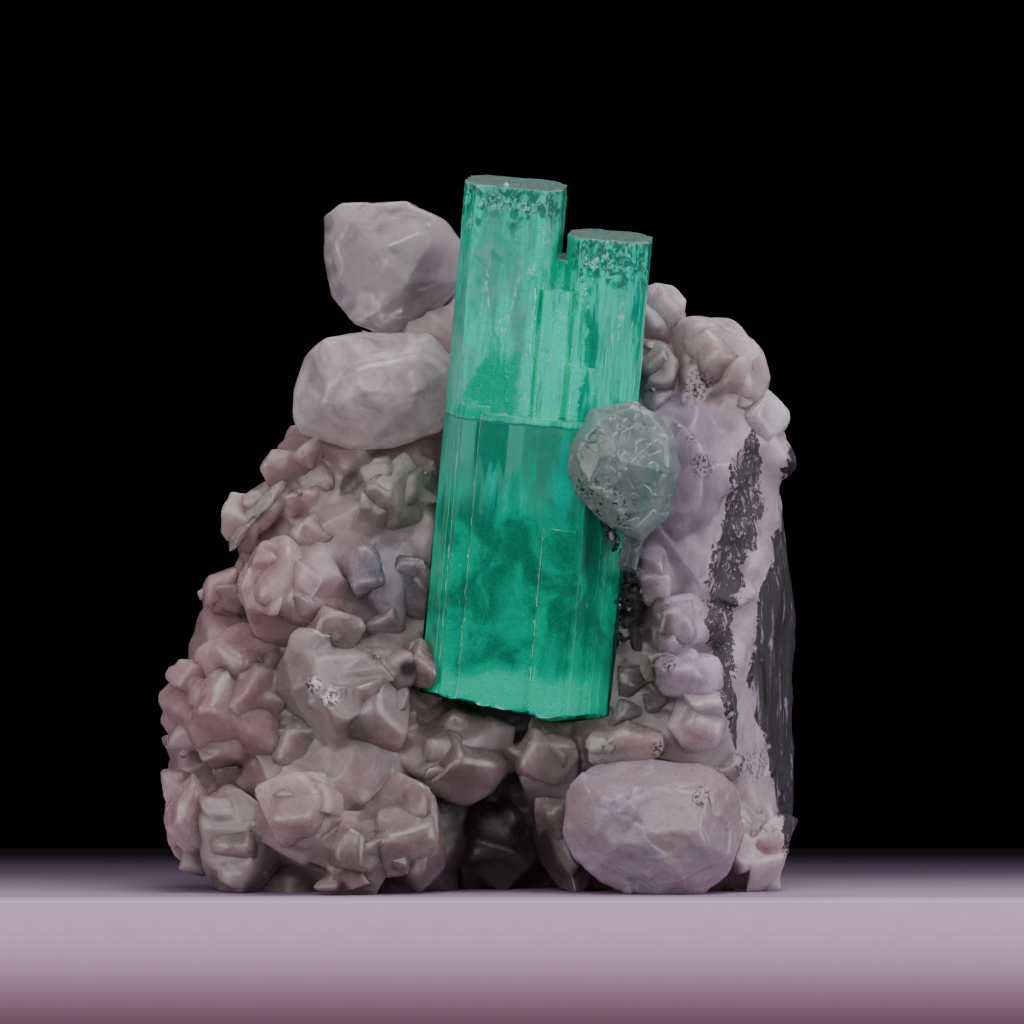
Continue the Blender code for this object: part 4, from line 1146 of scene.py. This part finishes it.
def build_front_crystals(look, surface):
    """Glassy crystals standing out of the mass: r(u) = the soft least of reach / (normal . u) over the faces.

    u runs over a grid of directions, rings by sides, with a tip at each pole, and a low unevenness is added.
    """
    mass, _, _ = surface
    rings, sides = ((26, 38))
    climb = (np.arange(rings) + 0.5) / rings * np.pi - np.pi / 2
    around = np.arange(sides) / sides * 2 * np.pi
    climb, around = np.meshgrid(climb, around, indexing="ij")
    grid = np.stack([np.cos(climb) * np.cos(around), np.cos(climb) * np.sin(around), np.sin(climb)], axis=2)
    grid = np.concatenate([grid.reshape(-1, 3), [[0, 0, -1.0], [0, 0, 1.0]]])
    skin = closed_faces(rings, sides)
    all_points, all_faces, all_tones = [], [], []
    for number, (x, z, wide, high, proud, turn, tone) in enumerate(FRONT_CRYSTALS):
        deep = (wide + high) * 0.55
        normals, reach = calcite_faces((wide, deep, high), 700 + number)
        facing = np.maximum(grid @ normals.T, 1e-3) / reach
        radius = (facing ** 24).sum(axis=1) ** (-1 / 24)
        shape = grid * radius[:, None]
        outward = unit(shape)
        shape = shape + outward * (value_noise(shape / 1.3, 740 + number) * 0.06)[:, None]
        tilt = Euler((math.radians(8.0 * math.sin(number)), math.radians(-turn), 0.0)).to_matrix()
        shape = shape @ np.array(tilt).T
        near = np.hypot(mass[:, 0] - x, mass[:, 2] - z) < 0.45
        y = mass[near, 1].min() + deep * (1 - 0.55 * proud)
        placed = shape + (x, y, z)
        placed[:, 2] = np.maximum(placed[:, 2], 0.02)
        all_points.append(placed)
        all_faces.append(skin + number * len(grid))
        own = np.tile(np.array(getattr(look, tone)), (len(grid), 1))
        # Towards its seat each crystal is painted paler: painted light standing for the light that gathers
        # there in clear calcite.
        seat = 1 + 0.9 * smoothstep(0.15, 0.8, (placed[:, 1:2] - placed[:, 1].min()) / deep)
        all_tones.append(np.minimum((0.3 * own + 0.7 * mass_tones(look, placed)) * seat * 1.1, 0.8))
    points = np.concatenate(all_points)
    points = boxed(points)
    piece = mesh_object(
        "front_crystals", points, np.concatenate(all_faces), {"tone": np.concatenate(all_tones)}, 60.0
    )
    dress(piece, glassy_material("front crystals", look, 0.35), "grey_calcite")


def grain_shape(sides, steps, lean, dice):
    """One small crystal: rings of a profile about its length, with every other corner raised and lowered."""
    heights = np.array([-0.75, -0.45, 0.5, 0.8])[:, None] + steps * (-1.0) ** np.arange(sides)
    radii = np.array([0.55, 1.0, 1.0, 0.5])[:, None] * (1 + dice.uniform(-0.18, 0.18, sides))
    turn = (np.arange(sides) + dice.uniform(-0.2, 0.2, sides)) * 2 * np.pi / sides
    rings = np.stack([radii * np.cos(turn), radii * np.sin(turn) * lean, heights], axis=2).reshape(-1, 3)
    return np.concatenate([rings, [[0, 0, -1.0], [0.1, 0, 1.0]]]), closed_faces(4, sides)


def build_grains(look, surface):
    """Small crystals scattered over the mass: copies of a few shapes, turned, stretched and joined."""
    points, faces, wanted = surface
    dice = np.random.default_rng(5)
    a, b, c = points[faces[:, 0]], points[faces[:, 1]], points[faces[:, 2]]
    normals = np.cross(b - a, c - a)
    areas = np.linalg.norm(normals, axis=1)
    normals = unit(normals)
    middles = (a + b + c) / 3
    crowd = smoothstep(-0.3, 0.5, layered_noise(middles / 3.5, 401))
    weight = areas * crowd * (middles[:, 2] > 0.5) * wanted[faces].min(axis=1)
    count = look.grain_count
    chosen = dice.choice(len(faces), count, p=weight / weight.sum())
    size = np.clip(look.grain_size * np.exp(dice.normal(0, 0.5, count)), 0.1, 0.8)
    length = size * dice.uniform(0.9, 1.5, count)
    up = unit(normals[chosen] + dice.normal(0, 0.5, (count, 3)))
    side = unit(np.cross(up, dice.normal(0, 1, (count, 3))))
    turned = np.stack([side, np.cross(up, side), up], axis=1)
    centres = middles[chosen] - normals[chosen] * (length * 0.1)[:, None]
    low, high = (np.array(corner) / MM for corner in CAD_BOX)
    reach = np.maximum(size, length) * 1.25
    inside = ((centres - reach[:, None] > low) & (centres + reach[:, None] < high)).all(axis=1)
    fits = (gap_to(centres, OTHER_NODES) > reach) & (centres[:, 2] > reach) & inside
    forms = ((6, 0.16, 1.0), (5, 0.1, 0.8), (4, 0.12, 1.0), (6, 0.05, 0.65), (3, 0.0, 1.0))
    shapes = [grain_shape(*form, dice) for form in forms]
    kind = dice.integers(0, len(shapes), count)
    all_points, all_faces, start = [], [], 0
    for number, (shape, skin) in enumerate(shapes):
        these = np.flatnonzero(fits & (kind == number))
        stretch = np.stack([size[these], size[these], length[these]], axis=1)
        placed = np.einsum("nij,njk->nik", shape[None] * stretch[:, None], turned[these])
        placed += centres[these][:, None]
        offsets = start + np.arange(len(these)) * len(shape)
        all_points.append(placed.reshape(-1, 3))
        all_faces.append((skin[None] + offsets[:, None, None]).reshape(-1, 3))
        start += placed.shape[0] * placed.shape[1]
    points = np.concatenate(all_points)
    tones = {"tone": mass_tones(look, points)}
    piece = mesh_object("calcite_grains", points, np.concatenate(all_faces), tones, 25.0)
    dress(piece, glassy_material("calcite grains", look, 0.35), "grey_calcite")


def build_shale(look):
    """The shale wall: the solid's layers cut fine and broken along upright splinters."""
    edge = 0.28
    points, faces, _ = split_long_edges(*cad_mesh("shale_wallrock"), lambda middles: edge)
    eased = relaxed(points, faces, 2, 0.4)
    normals = vertex_normals(eased, faces)
    turn = math.radians(SHALE_TURN)
    outward = np.array([-math.sin(turn), math.cos(turn), 0.0])
    free = smoothstep(-0.2, 0.3, normals @ outward + 0.15)
    height = facet_noise(eased * (0.5, 0.5, 0.16), 501, 0.7) * 0.45
    height += facet_noise(eased * (1.6, 1.6, 0.5), 521) * 0.16 + layered_noise(eased * (2, 2, 0.7), 541) * 0.1
    moved = eased + normals * ((height - 0.2) * free)[:, None]
    moved = boxed(moved)
    piece = mesh_object("shale_wall", moved, faces, sharp_angle=35.0)
    dress(piece, shale_material(look), "black_shale", "shale_wallrock")


# Stage

def area_light(name, place, size, power, colour, look_at=(0.0, -2.0, 16.0)):
    """A soft rectangular light at a place in millimetres, turned to the specimen."""
    data = bpy.data.lights.new(name, "AREA")
    data.shape = "RECTANGLE"
    data.size, data.size_y = size[0] * MM, size[1] * MM
    data.energy = power
    data.color = colour
    light = bpy.data.objects.new(name, data)
    bpy.context.scene.collection.objects.link(light)
    light.location = Vector(place) * MM
    light.rotation_euler = (Vector(look_at) - Vector(place)).to_track_quat("-Z", "Y").to_euler()
    return light


def plinth_material(look):
    """The plinth's pale lavender surface, with painted shade that darkens it towards its far edge and its
    foot.
    """
    shader = Shader("pale plinth")
    y = shader.axis(shader.place, 1)
    z = shader.axis(shader.place, 2)
    grain = shader.noise(shader.place, 0.9, 4.0, 0.6)
    pale = shader.mix(shader.between(grain, 0.3, 0.7), look.plinth_pale, [c * 0.96 for c in look.plinth_pale])
    # Painted shade: the front face darkens towards the foot.
    colour = shader.mix(shader.between(z, -0.8, -7.0), pale, look.plinth_low)
    # Painted shade: the top is darker than the front and falls dark towards the back.
    top = shader.mix(shader.between(y, -12.0, 26.0), look.plinth_near, look.plinth_far)
    top = shader.mix(shader.between(y, 12.0, 54.0), top, look.plinth_dark)
    colour = shader.mix(shader.between(z, -0.25, -0.05), colour, top)
    return shader.finish(
        Base_Color=colour, Metallic=0.0, Roughness=shader.between(grain, 0.3, 0.7, 0.8, 0.9), IOR=1.45,
        Specular_IOR_Level=0.0,
    )


def build_stage(look):
    """The pale plinth, the dark surround, the soft lights and the camera."""
    low = np.array([-PLINTH_HALF, PLINTH_FRONT, -PLINTH_HEIGHT])
    high = np.array([PLINTH_HALF, PLINTH_BACK, 0.0])
    bm = bmesh.new()
    bmesh.ops.create_cube(bm, size=1.0)
    bmesh.ops.scale(bm, vec=Vector((high - low) * MM), verts=bm.verts[:])
    bmesh.ops.translate(bm, vec=Vector((high + low) / 2 * MM), verts=bm.verts[:])
    bmesh.ops.bevel(bm, geom=bm.edges[:], offset=0.3 * MM, segments=3, affect="EDGES", profile=0.5)
    mesh = bpy.data.meshes.new("plinth")
    bm.to_mesh(mesh)
    bm.free()
    plinth = bpy.data.objects.new("plinth", mesh)
    bpy.context.scene.collection.objects.link(plinth)
    mesh.materials.append(plinth_material(look))

    area_light("top softbox", (60, -90, 230), (160, 120), look.key_power, (1.0, 0.97, 1.0))
    area_light("left softbox", (-230, -160, 40), (150, 200), look.left_power, (1.0, 0.95, 0.96))
    area_light("right softbox", (230, -110, 60), (130, 200), look.right_power, (0.95, 0.93, 1.0))
    area_light("back softbox", (30, 150, 260), (180, 120), look.back_power, (1.0, 0.98, 1.0))
    area_light("front fill", (-30, -320, 130), (360, 190), look.front_power, (1.0, 0.97, 1.0))

    world = bpy.data.worlds.new("dark studio")
    bpy.context.scene.world = world
    world.use_nodes = True
    background = world.node_tree.nodes["Background"]
    background.inputs["Color"].default_value = (0.9, 0.88, 1.0, 1.0)
    background.inputs["Strength"].default_value = 0.001

    data = bpy.data.cameras.new("camera")
    data.sensor_width = SENSOR
    data.lens = SENSOR * VIEW_DISTANCE / VIEW_WIDTH
    data.clip_start, data.clip_end = 0.02, 10.0
    camera = bpy.data.objects.new("camera", data)
    bpy.context.scene.collection.objects.link(camera)
    camera.location = (Vector(VIEW_MIDDLE) - Vector((0, VIEW_DISTANCE, 0))) * MM
    camera.rotation_euler = (math.radians(90), 0, 0)
    bpy.context.scene.camera = camera


# Settings, operators and panel

def colour_setting(name, description, default):
    """A colour."""
    return FloatVectorProperty(
        name=name, description=description, default=default, subtype="COLOR", size=3, min=0.0, max=1.0
    )


def share_setting(name, description, default):
    """A share from 0 to 1."""
    return FloatProperty(
        name=name, description=description, default=default, min=0.0, max=1.0, subtype="FACTOR"
    )


def size_setting(name, description, default):
    """A length in millimetres."""
    return FloatProperty(name=name, description=description + ", in millimetres", default=default, min=0.05)


def power_setting(name, default):
    """The power of a light."""
    return FloatProperty(name=name, description=name + "'s power", default=default, min=0.0, unit="POWER")


class SpecimenLook(bpy.types.PropertyGroup):
    """Colours and sizes of the specimen's finish."""

    emerald_deep: colour_setting("Emerald deep", "Dark patches low in the emerald", (0.0, 0.26, 0.16))
    emerald_body: colour_setting("Emerald body", "The emerald's main green", (0.0, 0.55, 0.33))
    emerald_bright: colour_setting("Emerald bright", "Bright inner prisms", (0.0, 0.92, 0.66))
    emerald_pale: colour_setting("Emerald pale", "Pale upper part of the emerald", (0.09, 0.52, 0.41))
    emerald_white: colour_setting("Emerald white", "Fibres in the emerald", (0.26, 0.9, 0.78))
    emerald_veil: colour_setting("Emerald veil", "Cloudy veils in the upper emerald", (0.20, 0.60, 0.50))
    # Its pale colour marks real cracks and paints their glints.
    emerald_spark: colour_setting("Emerald sparkle", "Sparkling cracks in the emerald", (0.36, 0.97, 0.82))
    emerald_shadow: colour_setting("Emerald shadow", "Dark patches at the crowns", (0.03, 0.16, 0.12))
    emerald_cap: colour_setting("Emerald end", "The emerald's end faces", (0.3, 0.46, 0.41))
    emerald_milky: colour_setting("Emerald milky", "Milky band at the emerald's foot", (0, 0.8, 0.49))
    emerald_absorb: colour_setting("Emerald absorption", "What the emerald lets through", (0.0, 0.97, 0.82))
    emerald_density: FloatProperty(
        name="Emerald density", description="Absorption in each millimetre of emerald", default=0.42, min=0.0
    )
    emerald_clear: share_setting("Emerald clarity", "Share of the light that enters the emerald", 0.36)
    emerald_edge: size_setting("Emerald edge", "Longest edge in the emerald's mesh", 0.30)
    clear_colour: colour_setting("Clear calcite", "The clear crystals' colour", (0.93, 0.82, 0.85))
    clear_veil: colour_setting("Clear calcite veil", "Milky veils in the clear crystals", (0.52, 0.45, 0.48))
    clear_milk: colour_setting("Clear calcite milk", "Veils in the lower clear crystal", (0.8, 0.66, 0.69))
    # Colour of the painted reflections inside the clear crystals.
    clear_reflection: colour_setting("Clear shadow", "Greyer places inside the crystals", (0.15, 0.13, 0.185))
    clear_absorb: colour_setting("Clear calcite absorption", "What they let through", (0.85, 0.78, 0.80))
    clear_clear: share_setting("Clear calcite clarity", "Share of the light that enters the crystals", 0.8)
    tinted_colour: colour_setting("Tinted calcite", "The green-tinted crystal's colour", (0.15, 0.28, 0.24))
    tinted_veil: colour_setting("Tinted calcite veil", "Its milky veils", (0.22, 0.26, 0.25))
    tinted_absorb: colour_setting("Tinted absorption", "What it lets through", (0.62, 0.92, 0.80))
    knob_white: colour_setting("Knob", "The white knob's colour", (0.315, 0.225, 0.25))
    matrix_pink: colour_setting("Matrix pink", "Pink grey calcite", (0.255, 0.158, 0.17))
    matrix_grey: colour_setting("Matrix grey", "Grey calcite", (0.2, 0.15, 0.15))
    matrix_pale: colour_setting("Matrix pale", "Pale pinkish calcite", (0.345, 0.245, 0.256))
    matrix_white: colour_setting("Matrix white", "White calcite", (0.45, 0.37, 0.4))
    # Pale colour that paints the patch's glints.
    matrix_silver: colour_setting("Matrix silver", "The glinting pitted patch", (0.56, 0.52, 0.56))
    matrix_lavender: colour_setting("Matrix lavender", "Lavender calcite at the right", (0.285, 0.225, 0.297))
    matrix_blue: colour_setting("Matrix blue grey", "Crystals beside the emerald", (0.09, 0.092, 0.115))
    matrix_green: colour_setting("Matrix green grey", "Grey crystals with a green cast", (0.2, 0.178, 0.17))
    matrix_brown: colour_setting("Matrix brown", "Brownish calcite at the foot", (0.115, 0.078, 0.077))
    # Its dark colour also paints the shadow in the hollow under the emerald.
    matrix_dark_and_shade: colour_setting("Matrix dark", "Dark filling between crystals", (0.025, 0.018, 0.016))
    matrix_glow: share_setting("Matrix glow", "Share of the light that spreads inside the matrix", 0.8)
    matrix_front_edge: size_setting("Matrix front edge", "Longest edge at the front", 0.35)
    matrix_back_edge: size_setting("Matrix back edge", "Longest edge at the back", 0.56)
    grain_count: IntProperty(
        name="Grains", description="Small crystals tried on the matrix", default=70, min=0
    )
    grain_size: size_setting("Grain size", "Usual half width of a small crystal", 0.26)
    shale_dark: colour_setting("Shale dark", "Darkest shale", (0.010, 0.008, 0.010))
    shale_grey: colour_setting("Shale grey", "Grey shale", (0.032, 0.026, 0.033))
    plinth_pale: colour_setting("Plinth", "The plinth's front", (0.61, 0.385, 0.59))
    # The plinth's foot, top, far and dark colours are painted shade on its pale colour.
    plinth_low: colour_setting("Plinth foot", "The plinth towards its foot", (0.12, 0.065, 0.085))
    plinth_near: colour_setting("Plinth top", "The plinth's top at the front", (0.36, 0.255, 0.37))
    plinth_far: colour_setting("Plinth far", "The plinth behind the specimen", (0.10, 0.072, 0.115))
    plinth_dark: colour_setting("Plinth dark", "The plinth where it falls dark", (0.008, 0.007, 0.009))
    key_power: power_setting("Top light", 0.38)
    left_power: power_setting("Left light", 0.37)
    right_power: power_setting("Right light", 0.43)
    back_power: power_setting("Back light", 0.25)
    front_power: power_setting("Front fill", 0.76)


class SPECIMEN_OT_emerald(bpy.types.Operator):
    """Build the emerald and its inclusions"""

    bl_idname = "specimen.emerald"
    bl_label = "Emerald"

    def execute(self, context):
        build_emerald(context.scene.specimen_look)
        return {"FINISHED"}


class SPECIMEN_OT_clear_crystals(bpy.types.Operator):
    """Build the clear calcite crystals and the tiny quartz"""

    bl_idname = "specimen.clear_crystals"
    bl_label = "Clear crystals"

    def execute(self, context):
        build_clear_crystals(context.scene.specimen_look)
        return {"FINISHED"}


class SPECIMEN_OT_tinted_crystal(bpy.types.Operator):
    """Build the green-tinted crystal and the dark chips under it"""

    bl_idname = "specimen.tinted_crystal"
    bl_label = "Green-tinted crystal"

    def execute(self, context):
        look = context.scene.specimen_look
        build_tinted_crystal(look)
        build_gap_chips(look)
        return {"FINISHED"}


class SPECIMEN_OT_knob(bpy.types.Operator):
    """Build the white knob"""

    bl_idname = "specimen.knob"
    bl_label = "White knob"

    def execute(self, context):
        build_knob(context.scene.specimen_look)
        return {"FINISHED"}


class SPECIMEN_OT_matrix(bpy.types.Operator):
    """Build the calcite mass and the crystals on it"""

    bl_idname = "specimen.matrix"
    bl_label = "Calcite matrix"

    def execute(self, context):
        look = context.scene.specimen_look
        surface = build_matrix(look)
        build_front_crystals(look, surface)
        build_grains(look, surface)
        return {"FINISHED"}


class SPECIMEN_OT_shale(bpy.types.Operator):
    """Build the shale wall"""

    bl_idname = "specimen.shale"
    bl_label = "Shale wall"

    def execute(self, context):
        build_shale(context.scene.specimen_look)
        return {"FINISHED"}


class SPECIMEN_OT_stage(bpy.types.Operator):
    """Build the plinth, the lights and the camera"""

    bl_idname = "specimen.stage"
    bl_label = "Stage"

    def execute(self, context):
        build_stage(context.scene.specimen_look)
        return {"FINISHED"}


class SPECIMEN_PT_panel(bpy.types.Panel):
    """The specimen's settings and its pieces"""

    bl_idname = "SPECIMEN_PT_panel"
    bl_label = "Emerald in Matrix"
    bl_space_type = "VIEW_3D"
    bl_region_type = "UI"
    bl_category = "Specimen"

    def draw(self, context):
        look = context.scene.specimen_look
        for name in SpecimenLook.__annotations__:
            self.layout.prop(look, name)
        for operator in OPERATORS:
            self.layout.operator(operator.bl_idname)


OPERATORS = (
    SPECIMEN_OT_stage,
    SPECIMEN_OT_emerald,
    SPECIMEN_OT_clear_crystals,
    SPECIMEN_OT_tinted_crystal,
    SPECIMEN_OT_knob,
    SPECIMEN_OT_matrix,
    SPECIMEN_OT_shale,
)
CLASSES = (SpecimenLook, *OPERATORS, SPECIMEN_PT_panel)


def register():
    for cls in CLASSES:
        bpy.utils.register_class(cls)
    bpy.types.Scene.specimen_look = PointerProperty(type=SpecimenLook)


def unregister():
    del bpy.types.Scene.specimen_look
    for cls in reversed(CLASSES):
        bpy.utils.unregister_class(cls)


def main():
    register()
    bpy.ops.specimen.stage()
    bpy.ops.specimen.emerald()
    bpy.ops.specimen.clear_crystals()
    bpy.ops.specimen.tinted_crystal()
    bpy.ops.specimen.knob()
    bpy.ops.specimen.matrix()
    bpy.ops.specimen.shale()


if __name__ == "__main__":
    main()
